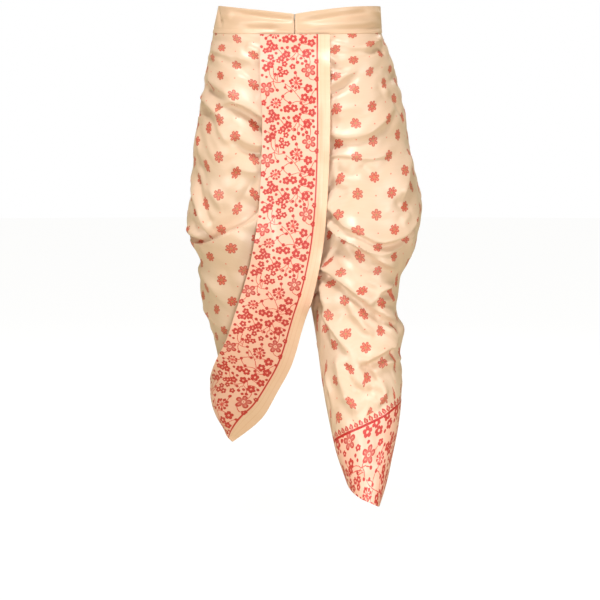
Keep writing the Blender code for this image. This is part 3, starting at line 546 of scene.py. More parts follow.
def fold_line(leg, face, path):
    """A smooth line of points on a leg: its places, its directions and the outward way."""
    path = np.array(path, float)
    z = path[:, 1] * MM
    around = path[:, 0] if face == "round" else leg.around_at(face, path[:, 0] * MM, z)
    corners = leg.point(around, z)
    run = np.concatenate([[0], np.cumsum(np.linalg.norm(np.diff(corners, axis=0), axis=1))])
    along = np.linspace(0, run[-1], max(FOLD_PLACES, int(run[-1] / FOLD_STEP)))
    around = smooth_between(run, around, along)
    z = smooth_between(run, z, along)
    places = leg.point(around, z)
    ways = np.gradient(places, axis=0)
    ways /= np.maximum(np.linalg.norm(ways, axis=1, keepdims=True), TINY)
    return places, ways, leg.normal(around, z), along / run[-1]


def fade(value, width):
    """Rises smoothly from 0 at 0 to 1 at the width."""
    t = np.clip(value / width, 0, 1)
    return t * t * (3 - 2 * t)


# Folds lower than this many mm stand out a little more in the thin cloth
SMALL_FOLD = 9.5
SMALL_FOLD_LIFT = 1.2
# Across a fold, in its own widths: how round its crest and how long its foot is, how far
# it reaches, and where the hollow beside a ridge lies, how wide it is and how deep for the
# ridge's height. Past its ends a fold dies away over its width, or over FOLD_END if that
# is more.
FOLD_ROUNDNESS = 0.75
FOLD_FOOT = 0.45
FOLD_REACH = 3.2
HOLLOW_PLACE = 2.4
HOLLOW_WIDTH = 1.1
HOLLOW_DEPTH = 0.28
FOLD_END = 5 * MM


def fold_heights(points, folds, lines):
    """How far each point is raised by the folds, and how far it is let down."""
    raised = np.zeros(len(points))
    dropped = np.zeros(len(points))
    for fold, (places, ways, outs, share) in zip(folds, lines):
        height, left_width, right_width, fade_in, fade_out, droop = fold[1:7]
        lefts = np.cross(outs, ways)
        reach = FOLD_REACH * max(left_width, right_width) * MM
        near = np.all((points > places.min(0) - reach) & (points < places.max(0) + reach), axis=1)
        if not near.any():
            continue
        gap = points[near][:, None, :] - places[None]
        nearest = np.argmin((gap ** 2).sum(-1), axis=1)
        gap = gap[np.arange(len(nearest)), nearest]
        side = (gap * lefts[nearest]).sum(-1)
        beyond = (gap * ways[nearest]).sum(-1)
        t = side / (np.where(side > 0, left_width, right_width) * MM)
        end_width = max(0.5 * (left_width + right_width) * MM, FOLD_END)
        rise = np.exp(-t ** 2 / (FOLD_ROUNDNESS + FOLD_FOOT * np.abs(t)))
        if height > 0:
            from_hollow = side / (right_width * MM) + HOLLOW_PLACE
            rise -= HOLLOW_DEPTH * np.exp(-(from_hollow / HOLLOW_WIDTH) ** 2)
        crisp = SMALL_FOLD_LIFT if abs(height) < SMALL_FOLD else 1.0
        rise *= height * crisp * MM * np.exp(-(beyond / end_width) ** 2)
        rise *= fade(share[nearest], fade_in) * fade(1 - share[nearest], fade_out)
        raised[near] += rise
        dropped[near] += np.maximum(rise, 0) * droop
    return raised, dropped


def leg_surface(side, around, z):
    """The folded surface of a leg at arrays of around and z."""
    leg = LEGS[side]
    flat_round, flat_z = around.ravel(), z.ravel()
    points = leg.point(flat_round, flat_z)
    raised, dropped = fold_heights(points, FOLDS[side], FOLD_LINES[side])
    from_seam = np.minimum(flat_round, 2 - flat_round)
    held = fade(from_seam, SEAM_HOLD) * fade(WAIST_SEAM_HEIGHT - flat_z, WAIST_HOLD)
    points = points + leg.normal(flat_round, flat_z) * (raised * held)[:, None]
    points[:, 2] -= dropped * held
    return points.reshape(around.shape + (3,))


def edge_heights(table, around):
    """The height of an edge of the cloth at each place round the leg."""
    rows = np.array(table, float)
    return smooth_between(rows[:, 0], rows[:, 1] * MM, around)


def pinched(points, edge, amount):
    """Moves one side of a grid of cloth in from its seam: edge 0 is the first, -1 the last."""
    way = points[:, edge + (1 if edge == 0 else -1)] - points[:, edge]
    way /= np.maximum(np.linalg.norm(way, axis=-1, keepdims=True), TINY)
    points[:, edge] += way * amount
    return points


def leg_cloth(side, around, rows, top, bottom):
    """A grid of points for the cloth between two seams and two edges."""
    around = around[None, :].repeat(rows + 1, axis=0)
    share = np.linspace(0, 1, rows + 1)[:, None]
    z = edge_heights(top, around[0]) * (1 - share) + edge_heights(bottom, around[0]) * share
    points = pinched(pinched(leg_surface(side, around, z), 0, SEAM_PINCH), -1, SEAM_PINCH)
    return points, around, z


def run_along(points, axis):
    """Length over the cloth from the first row or column to each point."""
    steps = np.linalg.norm(np.diff(points, axis=axis), axis=-1)
    start = np.zeros_like(steps[:1] if axis == 0 else steps[:, :1])
    return np.concatenate([start, np.cumsum(steps, axis=axis)], axis=axis)


# Where the cloth bends less than this from face to face, it is shaded as smooth
SMOOTH_BEND = math.radians(62)


def cloth_sheet(name, points, outward, thickness, uv_maps, material):
    """Shapes a grid to rows of points from the top down, and gives it its wall and maps."""
    points = points[::-1] if outward > 0 else points[::-1, ::-1]
    rows, columns = points.shape[:2]
    bpy.ops.object.select_all(action="DESELECT")
    bpy.ops.mesh.primitive_grid_add(x_subdivisions=columns - 1, y_subdivisions=rows - 1,
                                    size=1, location=(0, 0, 0))
    sheet = bpy.context.object
    sheet.name = name
    sheet.data.name = name
    mesh = sheet.data
    mesh.vertices.foreach_set("co", points.reshape(-1).astype(np.float32))
    corners = np.empty(len(mesh.loops), int)
    mesh.loops.foreach_get("vertex_index", corners)
    while mesh.uv_layers:
        mesh.uv_layers.remove(mesh.uv_layers[0])
    for label, uv in uv_maps.items():
        uv = uv[::-1] if outward > 0 else uv[::-1, ::-1]
        layer = mesh.uv_layers.new(name=label)
        layer.data.foreach_set("uv", uv.reshape(-1, 2)[corners].reshape(-1).astype(np.float32))
    mesh.materials.append(material)
    mesh.update()
    wall = sheet.modifiers.new("wall", "SOLIDIFY")
    wall.thickness = thickness
    wall.offset = -1.0
    bpy.ops.object.modifier_apply(modifier=wall.name)
    bpy.ops.object.shade_smooth_by_angle(angle=SMOOTH_BEND)
    return sheet


# The printed lattice. Its columns follow a line down the front of each leg (z and x), its
# rows rise a little towards the side, and one star lies at a set place (x and z). Below
# the deep fold over the right knee the cloth comes round from the side, turned.
GRAIN_LINE = {"left": ((-925, 136), (-423, 104), (-29, 93)),
              "right": ((-840, -92), (-410, -95), (-250, -98), (-29, -99))}
ROW_RISE = {"left": 0.12, "right": 0.25}
# The cloth is gathered into the waist seam: how much longer it is, and over what length
GATHER = 0.30
GATHER_LENGTH = 95.0 * MM
STAR_PLACE = {"left": (71, -235), "right": (-120, -291)}
# The lip of that fold, as how far round the leg and z, how far below it the turned cloth
# starts, its turn, where a star lies on it (x and z), and how much it is drawn up
LIP_LINE = ((0.0, -340), (0.18, -357), (0.24, -369), (0.35, -393), (0.47, -410),
            (0.57, -423), (0.65, -429), (0.76, -428), (0.86, -419), (1.02, -396))
LIP_DEPTH = 4.0 * MM
UNDER_LIP_TURN = math.radians(20)
UNDER_LIP_STAR = (-150, -496)
UNDER_LIP_DRAW = 1.06
# The tuck over the right thigh, as x and z, and how much cloth lies hidden under it
TUCK_LINE = ((-200, -188), (-156, -178), (-139, -166), (-124, -162), (-105, -168),
             (-88, -178), (-58, -198), (0, -215))
TUCK_TAKES = 20.0 * MM
# Soft unevenness of worn satin: how many waves, their lengths, their total depth, and the
# slant of their crests down from the middle, with how far it strays
WAVES = 26
WAVE_LENGTHS = (26 * MM, 90 * MM)
WAVE_DEPTH = 1.15 * MM
WAVE_SLANT = 1.75
WAVE_STRAY = 0.5
WAVE_SEED = 7


def unevenness(uv):
    """Low soft waves over the cloth, as worn satin has between its folds."""
    random = np.random.default_rng(WAVE_SEED)
    total = np.zeros(uv.shape[:-1])
    for _ in range(WAVES):
        turn = random.normal(WAVE_SLANT, WAVE_STRAY)
        phase = random.uniform(0, 2 * math.pi)
        length = random.uniform(*WAVE_LENGTHS)
        way = (math.cos(turn), math.sin(turn))
        total += np.sin((uv[..., 0] * way[0] + uv[..., 1] * way[1]) * 2 * math.pi / length + phase)
    return total * WAVE_DEPTH / math.sqrt(WAVES)


def nearest_uv(points, uv, place):
    """The map's value where the cloth lies at a place given by its x and z."""
    gap = (points[..., 0] - place[0] * MM) ** 2 + (points[..., 2] - place[1] * MM) ** 2
    return uv.reshape(-1, 2)[np.argmin(gap)]


def lattice_map(side, face, points, around, z):
    """The map that carries the printed lattice, in metres over the cloth."""
    leg = LEGS[side]
    plain = leg.point(around, z)
    across = run_along(plain, 1)
    if face == "back":
        across = across[:, -1:] - across
    grain = np.array(GRAIN_LINE[side], float) * MM
    grain_x = np.interp(z, grain[:, 0], grain[:, 1]) * leg.outward
    reach = plain[..., 0] * leg.outward
    if face == "back":
        reach, ordered = reach[:, ::-1], across[:, ::-1]
    else:
        ordered = across
    middle = np.array([np.interp(wanted, np.maximum.accumulate(xs), lengths)
                       for wanted, xs, lengths in zip(grain_x, reach, ordered)])
    u = across - middle
    down = run_along(points, 0)
    v = down + GATHER * np.minimum(down, GATHER_LENGTH) + ROW_RISE[side] * u
    uv = np.stack([u, v], axis=-1)
    if face == "back":
        return uv
    start = nearest_uv(points, uv, STAR_PLACE[side])
    if side == "right":
        tuck = np.array(TUCK_LINE, float) * MM
        over = z > np.interp(plain[..., 0], tuck[:, 0], tuck[:, 1])
        uv = uv + np.stack([np.zeros(z.shape), over * TUCK_TAKES], axis=-1)
        lip = np.array(LIP_LINE, float)
        under = z < np.interp(around, lip[:, 0], lip[:, 1] * MM) - LIP_DEPTH
        low = np.stack([u, run_along(plain, 0) * UNDER_LIP_DRAW], axis=-1)
        low = low - nearest_uv(points, low, UNDER_LIP_STAR)
        turn, lean = math.cos(UNDER_LIP_TURN), math.sin(UNDER_LIP_TURN)
        turned = np.stack([low[..., 0] * turn - low[..., 1] * lean,
                           low[..., 0] * lean + low[..., 1] * turn], axis=-1)
        return np.where(under[..., None], turned, uv - start)
    return uv - start


# The border's seam is mapped on the cloth up to this far above the seam's highest place
BORDER_REACH = 24.0 * MM


def border_map(side, points, seam):
    """Length along the printed border's seam and distance up from it, far away elsewhere."""
    uv = np.ones(points.shape[:2] + (2,))
    if side == "right":
        return uv
    near = points[..., 2] < seam[:, 2].max() + BORDER_REACH
    run = run_along(seam[None], 1)[0]
    gap = np.linalg.norm(points[near][:, None] - seam[None], axis=-1)
    nearest = np.argmin(gap, axis=1)
    uv[near] = np.stack([run[nearest], gap[np.arange(len(nearest)), nearest]], axis=-1)
    return uv


# Polyester satin, woven with long floats that lie side by side: a smooth cream face with
# a soft, broad gloss, and coral pigment printed on it by block, a little uneven, with a
# paler vein in each petal, an olive eye, and tiny red dots between the stars.
GROUND = "#E4C7B2"
GROUND_DEEP = "#DCB696"
# Bands of yarn and broad clouds in the ground: how many there are to a millimetre, how
# much each counts, and the span over which they bring in the deeper colour
YARN_BANDS = (0.02, 0.22, 1.0)
YARN_SHARE = 0.5
CLOUDS = 0.012
CLOUD_SHARE = 0.9
DEEPENING = (0.45, 0.95, 0.0, 0.55)
# The gloss: its roughness where it is brightest and where it is dullest, how many clouds
# of it there are to a millimetre, and how much duller the ink is
SATIN_ROUGHNESS = (0.40, 0.52)
GLOSS_CLOUDS = 0.05
INK_DULLNESS = 0.1
SATIN_SPECULAR = 0.95
SHEEN = 0.15
SHEEN_ROUGHNESS = 0.4
SHEEN_TINT = "#FFF3E2"
# Threads of about 0.1 mm are too fine to show, so the weave is drawn 0.8 mm apart
THREADS = (0.25, 1.25, 1.0)
WEAVE_STRENGTH = 0.10
WEAVE_DEPTH = 0.25 * MM
INK = "#B82613"
INK_PALE = "#E27454"
EYE = "#9A8A4C"
DOT_INK = "#E26A54"
RED_INK = "#C60C10"
STAR_SPACING = (34.5, 35.5)
STAR_RADIUS = 10.7
STAR_STRETCH = (0.98, 0.93, 0.0)
PETALS = 6
MANY_PETALS = 7
MANY_PETALS_FROM = 0.6
NOTCH_DEPTH = 0.46
NOTCH_POWER = 0.55
TIP_DENT = 0.12
TIP_DENT_POWER = 40.0
EYE_RADIUS = 1.4
DOT_RADIUS = 1.3
EDGE_SOFTNESS = 0.45
# The cloth moves a little under the block: how many waves to a millimetre, and how far
WOBBLES = 0.3
PRINT_WOBBLE = 1.3
# A star's middle is rounded to this step, in mm, so that one chance is drawn for it all
CHANCE_STEP = (0.9, 0.9, 0.9)
# The share of ink that takes, by patches of so many to a millimetre and from star to star
WORN_PATCHES = 0.45
WORN = (0.3, 0.7, 0.9, 1.0)
FRESH = (0.0, 1.0, 0.86, 1.0)
# The pale vein: how near a petal's middle line it starts and is full, where its middle is
# as a share of the radius, and its length in mm. Round the eye the petals grow paler too.
VEIN_SIDES = (0.80, 0.97)
VEIN_PLACE = 0.58
VEIN_ENDS = (1.2, 3.2)
PALE_HEART = (1.5, 5.0, 0.6, 0.0)
TEAR_PITCH = 10.4
TEAR_START = 2.2
TEAR_HEIGHT = 13.6
TEAR_HALF_WIDTH = 4.2
TEAR_LEAN = 0.62
# Over what distances from its edge, in mm, a drop fades out and its middle grows paler,
# and how much ink its middle has
TEAR_EDGE = (-0.35, 0.4)
TEAR_HEART = (-4.0, -1.7)
TEAR_HEART_INK = 0.4
TEAR_END = 0.6
# The border's line, and where the stars stop above it, in mm up from the seam
TEAR_LINE = (1.7, 2.4)
STARS_STOP = (14.6, 15.2)
SOFT = {"interpolation_type": "SMOOTHSTEP"}
COLOURS = {"data_type": "RGBA"}


def in_millimetres(tree, map_name):
    """One of the cloth's own maps, in millimetres."""
    uv = add_node(tree, "UVMap", uv_map=map_name)
    return add_node(tree, "VectorMath:SCALE", uv, at={3: 1000.0})


def satin_ground(tree, place, light, deep):
    """The cloth under its print: faint bands of warmer and paler yarn."""
    long_way = add_node(tree, "VectorMath:MULTIPLY", place, YARN_BANDS)
    yarn = add_node(tree, "TexNoise", long_way, at={2: 1.0, 3: 3.0})
    broad = add_node(tree, "TexNoise", place, at={2: CLOUDS, 3: 2.0})
    broad = add_node(tree, "Math:MULTIPLY", broad, CLOUD_SHARE)
    share = add_node(tree, "Math:MULTIPLY_ADD", yarn, YARN_SHARE, broad)
    share = add_node(tree, "MapRange", share, *DEEPENING)
    ends = {6: linear(light), 7: linear(deep)}
    return add_node(tree, "Mix", share, at=ends, out=2, **COLOURS)


def finish_satin(material, colour, place, ink=0.0):
    """Sets the satin's gloss and its fine weave, with ink a little duller than the yarn."""
    tree = material.node_tree
    shader = tree.nodes["Principled BSDF"]
    tree.links.new(colour, shader.inputs["Base Color"])
    cloudy = add_node(tree, "TexNoise", place, at={2: GLOSS_CLOUDS, 3: 3.0})
    rough = add_node(tree, "MapRange", cloudy, 0.3, 0.7, *SATIN_ROUGHNESS)
    rough = add_node(tree, "Math:MULTIPLY_ADD", ink, INK_DULLNESS, rough)
    tree.links.new(rough, shader.inputs["Roughness"])
    threads = add_node(tree, "VectorMath:MULTIPLY", place, THREADS)
    weave = add_node(tree, "TexNoise", threads, at={2: 1.0, 3: 2.0})
    bump = add_node(tree, "Bump", WEAVE_STRENGTH, WEAVE_DEPTH, at={3: weave})
    tree.links.new(bump, shader.inputs["Normal"])
    shader.inputs["Specular IOR Level"].default_value = SATIN_SPECULAR
    shader.inputs["Sheen Weight"].default_value = SHEEN
    shader.inputs["Sheen Roughness"].default_value = SHEEN_ROUGHNESS
    shader.inputs["Sheen Tint"].default_value = linear(SHEEN_TINT)


def star_print(tree, place):
    """The lattice of stars and dots: the shares of ink, of pale vein, of eye and of dot."""
    wobble = add_node(tree, "TexNoise", place, at={2: WOBBLES, 3: 1.0}, out=1)
    wobble = add_node(tree, "VectorMath:SUBTRACT", wobble, (0.5, 0.5, 0.5))
    wobble = add_node(tree, "VectorMath:SCALE", wobble, at={3: PRINT_WOBBLE})
    shifted = add_node(tree, "VectorMath:ADD", wobble, place)
    half = (*STAR_SPACING, 1.0)
    low = (-half[0], -half[1], -1.0)
    near, sizes = [], []
    for offset in ((0, 0), STAR_SPACING, (STAR_SPACING[0], 0), (0, STAR_SPACING[1])):
        moved = add_node(tree, "VectorMath:ADD", shifted, (*offset, 0))
        local = add_node(tree, "VectorMath:WRAP", moved, half, low)
        near.append(local)
        stretched = add_node(tree, "VectorMath:MULTIPLY", local, STAR_STRETCH)
        sizes.append(add_node(tree, "VectorMath:LENGTH", stretched, out=1))
    second = add_node(tree, "Math:LESS_THAN", sizes[1], sizes[0])
    ends = {4: near[0], 5: near[1]}
    star = add_node(tree, "Mix", second, at=ends, out=1, data_type="VECTOR")
    size = add_node(tree, "Math:MINIMUM", sizes[0], sizes[1])
    dot = add_node(tree, "Math:MINIMUM", sizes[2], sizes[3])
    cell = add_node(tree, "VectorMath:SUBTRACT", shifted, star)
    cell = add_node(tree, "VectorMath:SNAP", cell, CHANCE_STEP)
    chance = add_node(tree, "TexWhiteNoise", cell, noise_dimensions="2D")
    split = add_node(tree, "SeparateXYZ", star).node
    angle = add_node(tree, "Math:ARCTAN2", split.outputs[0], split.outputs[1])
    many = add_node(tree, "Math:GREATER_THAN", chance, MANY_PETALS_FROM)
    turns = add_node(tree, "Mix", many, at={2: PETALS / 2, 3: MANY_PETALS / 2})
    wave = add_node(tree, "Math:COSINE", add_node(tree, "Math:MULTIPLY", angle, turns))
    wave = add_node(tree, "Math:ABSOLUTE", wave)
    # Broad petals with narrow notches between them, each a little dented at its tip
    lobe = add_node(tree, "Math:POWER", wave, NOTCH_POWER)
    dent = add_node(tree, "Math:POWER", wave, TIP_DENT_POWER)
    lobe = add_node(tree, "Math:MULTIPLY_ADD", dent, -TIP_DENT, lobe)
    reach = add_node(tree, "MapRange", lobe, 0.0, 1.0, NOTCH_DEPTH * STAR_RADIUS, STAR_RADIUS)
    past = add_node(tree, "Math:SUBTRACT", size, reach)
    ink = add_node(tree, "MapRange", past, -EDGE_SOFTNESS, EDGE_SOFTNESS, 1.0, 0.0, **SOFT)
    worn = add_node(tree, "TexNoise", place, at={2: WORN_PATCHES, 3: 2.0})
    worn = add_node(tree, "MapRange", worn, *WORN)
    fresh = add_node(tree, "MapRange", chance, *FRESH)
    ink = add_node(tree, "Math:MULTIPLY", ink, add_node(tree, "Math:MULTIPLY", worn, fresh))
    middle = add_node(tree, "MapRange", wave, *VEIN_SIDES, 0.0, 1.0, **SOFT)
    along = add_node(tree, "Math:SUBTRACT", size, VEIN_PLACE * STAR_RADIUS)
    along = add_node(tree, "MapRange", add_node(tree, "Math:ABSOLUTE", along), *VEIN_ENDS, 1.0, 0.0)
    vein = add_node(tree, "Math:MULTIPLY", middle, along)
    heart = add_node(tree, "MapRange", size, *PALE_HEART)
    vein = add_node(tree, "Math:MAXIMUM", vein, heart)
    eye = add_node(tree, "MapRange", size, EYE_RADIUS - EDGE_SOFTNESS,
                   EYE_RADIUS + EDGE_SOFTNESS, 1.0, 0.0, **SOFT)
    dot = add_node(tree, "MapRange", dot, DOT_RADIUS - EDGE_SOFTNESS,
                   DOT_RADIUS + EDGE_SOFTNESS, 1.0, 0.0, **SOFT)
    return ink, vein, eye, dot


def tear_print(tree):
    """The row of pointed drops on the border's red line, each paler in its middle."""
    border = in_millimetres(tree, "border")
    split = add_node(tree, "SeparateXYZ", border).node
    run, rise = split.outputs[0], split.outputs[1]
    side = add_node(tree, "Math:WRAP", run, TEAR_PITCH / 2, -TEAR_PITCH / 2)
    side = add_node(tree, "Math:ABSOLUTE", side)
    up = add_node(tree, "MapRange", rise, TEAR_START, TEAR_HEIGHT, 0.0, 1.0)
    swell = add_node(tree, "Math:MULTIPLY", add_node(tree, "Math:POWER", up, TEAR_LEAN), math.pi)
    wide = add_node(tree, "Math:MULTIPLY", add_node(tree, "Math:SINE", swell), TEAR_HALF_WIDTH)
    edge = add_node(tree, "Math:SUBTRACT", side, wide)
    drops = add_node(tree, "MapRange", edge, *TEAR_EDGE, 1.0, 0.0, **SOFT)
    heart = add_node(tree, "MapRange", edge, *TEAR_HEART, TEAR_HEART_INK, 1.0)
    below = add_node(tree, "MapRange", rise, TEAR_HEIGHT - TEAR_END, TEAR_HEIGHT, 1.0, 0.0)
    above = add_node(tree, "MapRange", rise, TEAR_START, TEAR_START + TEAR_END, 0.0, 1.0)
    drops = add_node(tree, "Math:MULTIPLY", drops, add_node(tree, "Math:MINIMUM", below, above))
    drops = add_node(tree, "Math:MULTIPLY", drops, heart)
    line = add_node(tree, "MapRange", rise, *TEAR_LINE, 1.0, 0.0, **SOFT)
    return add_node(tree, "Math:MAXIMUM", drops, line)


def inked(tree, colour, share, ink):
    """The colour with an ink over it, where the share says."""
    over = {6: colour, 7: ink if isinstance(ink, bpy.types.NodeSocket) else linear(ink)}
    return add_node(tree, "Mix", share, at=over, out=2, **COLOURS)


body_satin = bpy.data.materials.new("block_printed_polyester_satin")
body_satin.use_nodes = True
tree = body_satin.node_tree
place = in_millimetres(tree, "cloth")
ink, vein, eye, dot = star_print(tree, place)
# The stars stop short of the row of drops
rise = add_node(tree, "SeparateXYZ", in_millimetres(tree, "border"), out=1)
clear = add_node(tree, "MapRange", rise, *STARS_STOP, 0.0, 1.0)
ink = add_node(tree, "Math:MULTIPLY", ink, clear)
eye = add_node(tree, "Math:MULTIPLY", eye, clear)
petal = add_node(tree, "Mix", vein, at={6: linear(INK), 7: linear(INK_PALE)}, out=2, **COLOURS)
colour = satin_ground(tree, place, GROUND, GROUND_DEEP)
colour = inked(tree, colour, dot, DOT_INK)
colour = inked(tree, colour, ink, petal)
colour = inked(tree, colour, eye, EYE)
colour = inked(tree, colour, tear_print(tree), RED_INK)
finish_satin(body_satin, colour, place, ink)

LEGS = {"left": Leg(LEFT_LEG, LEFT_INSEAM, 1), "right": Leg(RIGHT_LEG, RIGHT_INSEAM, -1)}
FOLDS = {"left": LEFT_FOLDS, "right": RIGHT_FOLDS}
FOLD_LINES = {side: [fold_line(LEGS[side], fold[0], fold[7]) for fold in FOLDS[side]]
              for side in LEGS}
HEMS = {"left": LEFT_BORDER_TOP, "right": RIGHT_HEM}
FACES = {"front": np.linspace(0, 1, FRONT_COLUMNS + 1),
         "back": np.linspace(1, 2, BACK_COLUMNS + 1)}
# The flat cut of each piece: its widest, its length and the share of that box it fills
LEG_CUTS = {("left", "front"): (0.33, 0.98, 0.78), ("left", "back"): (0.33, 0.98, 0.78),
            ("right", "front"): (0.31, 0.95, 0.82), ("right", "back"): (0.33, 1.00, 0.80)}

for (side, face), (width, length, share) in LEG_CUTS.items():
    around = FACES[face]
    points, around_grid, z_grid = leg_cloth(side, around, LEG_ROWS, WAIST_SEAM, HEMS[side])
    uv = lattice_map(side, face, points, around_grid, z_grid)
    maps = {"cloth": uv, "border": border_map(side, points, points[-1])}
    outs = LEGS[side].normal(around_grid.ravel(), z_grid.ravel()).reshape(points.shape)
    calm = fade(np.minimum(around_grid, 2 - around_grid), SEAM_HOLD)
    calm = calm * fade(WAIST_SEAM_HEIGHT - z_grid, WAIST_HOLD)
    points = points + outs * (unevenness(uv) * calm)[..., None]
    name = side + "_leg_" + face
    cloth = cloth_sheet(name + "_satin", points, LEGS[side].outward, LEG_CLOTH, maps, body_satin)
    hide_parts(name)
    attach(cloth, "root")

# ---------------------------------------------------------------------------------------
# The printed border round the left foot: a piece of peach satin that meets the leg on a
# slant and is printed in red with flowers, buds and branching stems. Its repeat is charted
# in millimetres, across the print and down it, and comes again every REPEAT.
PRINT_WIDTH = 110.0
REPEAT = 135.0
REPEAT_ACROSS = 112.0
# Half the cell in which a motif comes again, and half the wider one of a stem, whose arc
# may have its middle far outside the print. The third number leaves the third coordinate
# as it is, in which a motif carries its turn in steps too small to count as distance.
HALF_CELL = np.array((REPEAT_ACROSS / 2, REPEAT / 2, 9.0))
HALF_STEM_CELL = np.array((300.0, REPEAT / 2, 9.0))
TURN_STEP = 1000.0
# A place with no motif near it: how far that is, in a motif's own size or in mm
FAR_PLACE = (9.0, 9.0, 0.0)
FAR = 12.7
PEACH = "#F7C7B4"
PEACH_DEEP = "#F5B59D"
STEM_INK = "#DA3834"
# across, down, size and turn of each open flower, ring flower and seed head
OPEN_FLOWERS = ((91.8, 0, 14.0, 0.3), (11.8, 35.7, 14.4, 1.2))
RING_FLOWERS = (
    (90.5, 34.9, 8.5, 0.2), (83.5, 51.7, 7.9, 1.0), (96.8, 56.8, 8.1, 0.5),
    (63, 72.4, 7.7, 0.1), (49.3, 73.9, 7.7, 0.8), (81.8, 75, 8.1, 0.4), (96.8, 80.9, 7.7, 1.1),
    (66.8, 92.5, 7.7, 0.6), (88, 102.3, 8.7, 0.9), (50.5, 103.4, 7.7, 0.3),
    (40.5, 111.9, 6.6, 0.7), (20.5, 109.3, 6.6, 0.0), (20, 124.8, 7.1, 0.5),
    (28, 89.1, 7.1, 0.2), (18.5, 80.9, 6.6, 1.1), (18, 93.8, 6.6, 0.6), (35.5, 116.4, 4.8, 0.9),
    (11.8, 130.6, 7.7, 0.2), (10.5, 96.2, 5.7, 0.2), (61.8, 128, 5.7, 0.4),
    (46.8, 122.9, 5.7, 0.9), (38, 132.4, 5.7, 0.1), (39.3, 8.5, 5.7, 0.6), (49.3, 4.1, 5.7, 1.0),
    (107, 17, 5.2, 0.3), (4, 62, 5.7, 0.8), (106, 118, 4.8, 0.1),
)
SEED_HEADS = ((28, 62.8, 10.0, 0.4), (68, 24, 11.5, 0.1))
SEEDS = 9
# across, down and size of each bud
BUDS = (
    (99, 96.4, 3.1), (51.8, 90, 3.1), (63.5, 112.7, 3.1), (77.5, 111.4, 3.1),
    (86.5, 117.5, 3.4), (71, 119.6, 3.4), (31, 101, 2.9), (41.8, 49.9, 3.2), (55, 62, 3.2),
    (11.5, 72, 2.9), (31.8, 38.2, 3.1), (43, 20.7, 3.1), (66.8, 4.7, 3.1), (52, 114, 3.0),
    (80, 122, 2.9), (26, 117, 2.9), (6, 116.4, 3.0), (42, 91, 3.1), (103, 70, 2.7),
    (58, 40, 3.0), (76, 63, 2.8), (105, 36, 2.8), (29, 8, 2.9), (4, 10, 2.9), (12, 13, 2.7),
    (47, 33, 2.8), (74, 84, 2.7), (3, 88, 2.9), (100, 107, 2.7), (57, 21, 2.7), (38, 76, 2.8),
)
# The two ends of each stem, across and down, and how far it bows out between them
STEMS = (
    (2, 14, 78, 62, -14), (78, 62, 72, 90, -5), (72, 90, 44, 120, -5), (66, 40, 90, 35, -4),
    (26, -3, 30, 19, 2), (34, 6, 33, 21, 1), (18, 2, 24, 17, 2), (48, 28, 55, 40, 2),
    (78, 66, 97, 57, 3), (76, 80, 97, 81, 3), (74, 88, 88, 102, 3), (80, 98, 99, 96, -4),
    (72, 107, 67, 92, 2), (60, 115, 50, 103, 1), (75, 104, 86, 117, -2), (70, 108, 71, 120, 1),
    (84, 62, 49, 74, 8),
    (40, 112, 20, 125, 3), (44, 120, 28, 89, 6), (28, 89, 18, 81, 2), (28, 63, 42, 50, 2),
    (28, 63, 12, 72, 2), (68, 24, 67, 5, 2), (68, 24, 74, 36, -2), (25, 21, 12, 36, 3),
    (25, 21, 43, 21, 3), (25, 21, 32, 38, 2), (42, 50, 55, 62, 2), (88, 102, 92, 128, -4),
    (20, 125, 6, 116, 2), (45, 2, 25, 21, 4), (58, 40, 42, 50, 2), (18, 94, 10, 96, 1),
    (50, 103, 42, 91, 2), (96, 57, 105, 36, -3), (12, 36, 4, 62, -3), (92, 14, 107, 17, 3),
)
STEM_HALF_WIDTH = 0.6
STEM_EDGE = (STEM_HALF_WIDTH - 0.3, STEM_HALF_WIDTH + 0.45)
BUD_EDGE = (-0.35, 0.35)
# A ring flower, in its own size: how deep and how round its lobes are cut, how soft its
# edge is, and where its open middle ends
FLOWER_PETALS = 5
RING_LOBES = (0.66, 1.04)
RING_LOBE_POWER = 0.6
RING_EDGE = (-0.06, 0.06)
RING_HOLE = (0.20, 0.32)
# An open flower: the same, then the paler rim inside its outline, the streak down each
# petal by its sides, its middle and its ends, and the pale heart round the dark eye
OPEN_LOBES = (0.30, 1.0)
OPEN_LOBE_POWER = 0.55
OPEN_EDGE = (-0.04, 0.04)
OPEN_RIM = (-0.24, -0.15, 0.16, 0.0)
STREAK_SIDES = (0.95, 0.99, 0.0, 0.5)
STREAK_PLACE = 0.58
STREAK_ENDS = (0.12, 0.22)
OPEN_HEART = (0.20, 0.27)
OPEN_EYE = (0.07, 0.12)
# A seed head: how far out its seeds lie, the edge of a seed, and of a spoke and its end
SEED_PLACE = 0.82
SEED_EDGE = (0.20, 0.28)
SPOKE_EDGE = (0.03, 0.09)
SPOKE_END = (0.6, 0.7)
# The cloth's movement under the block, and the ink's wear, as in the satin of the legs
FLOWER_WOBBLES = 0.22
FLOWER_WOBBLE = (2.0, 2.0, 0.0)
FLOWER_PATCHES = 0.5
FLOWER_WORN = (0.3, 0.65, 0.92, 1.0)


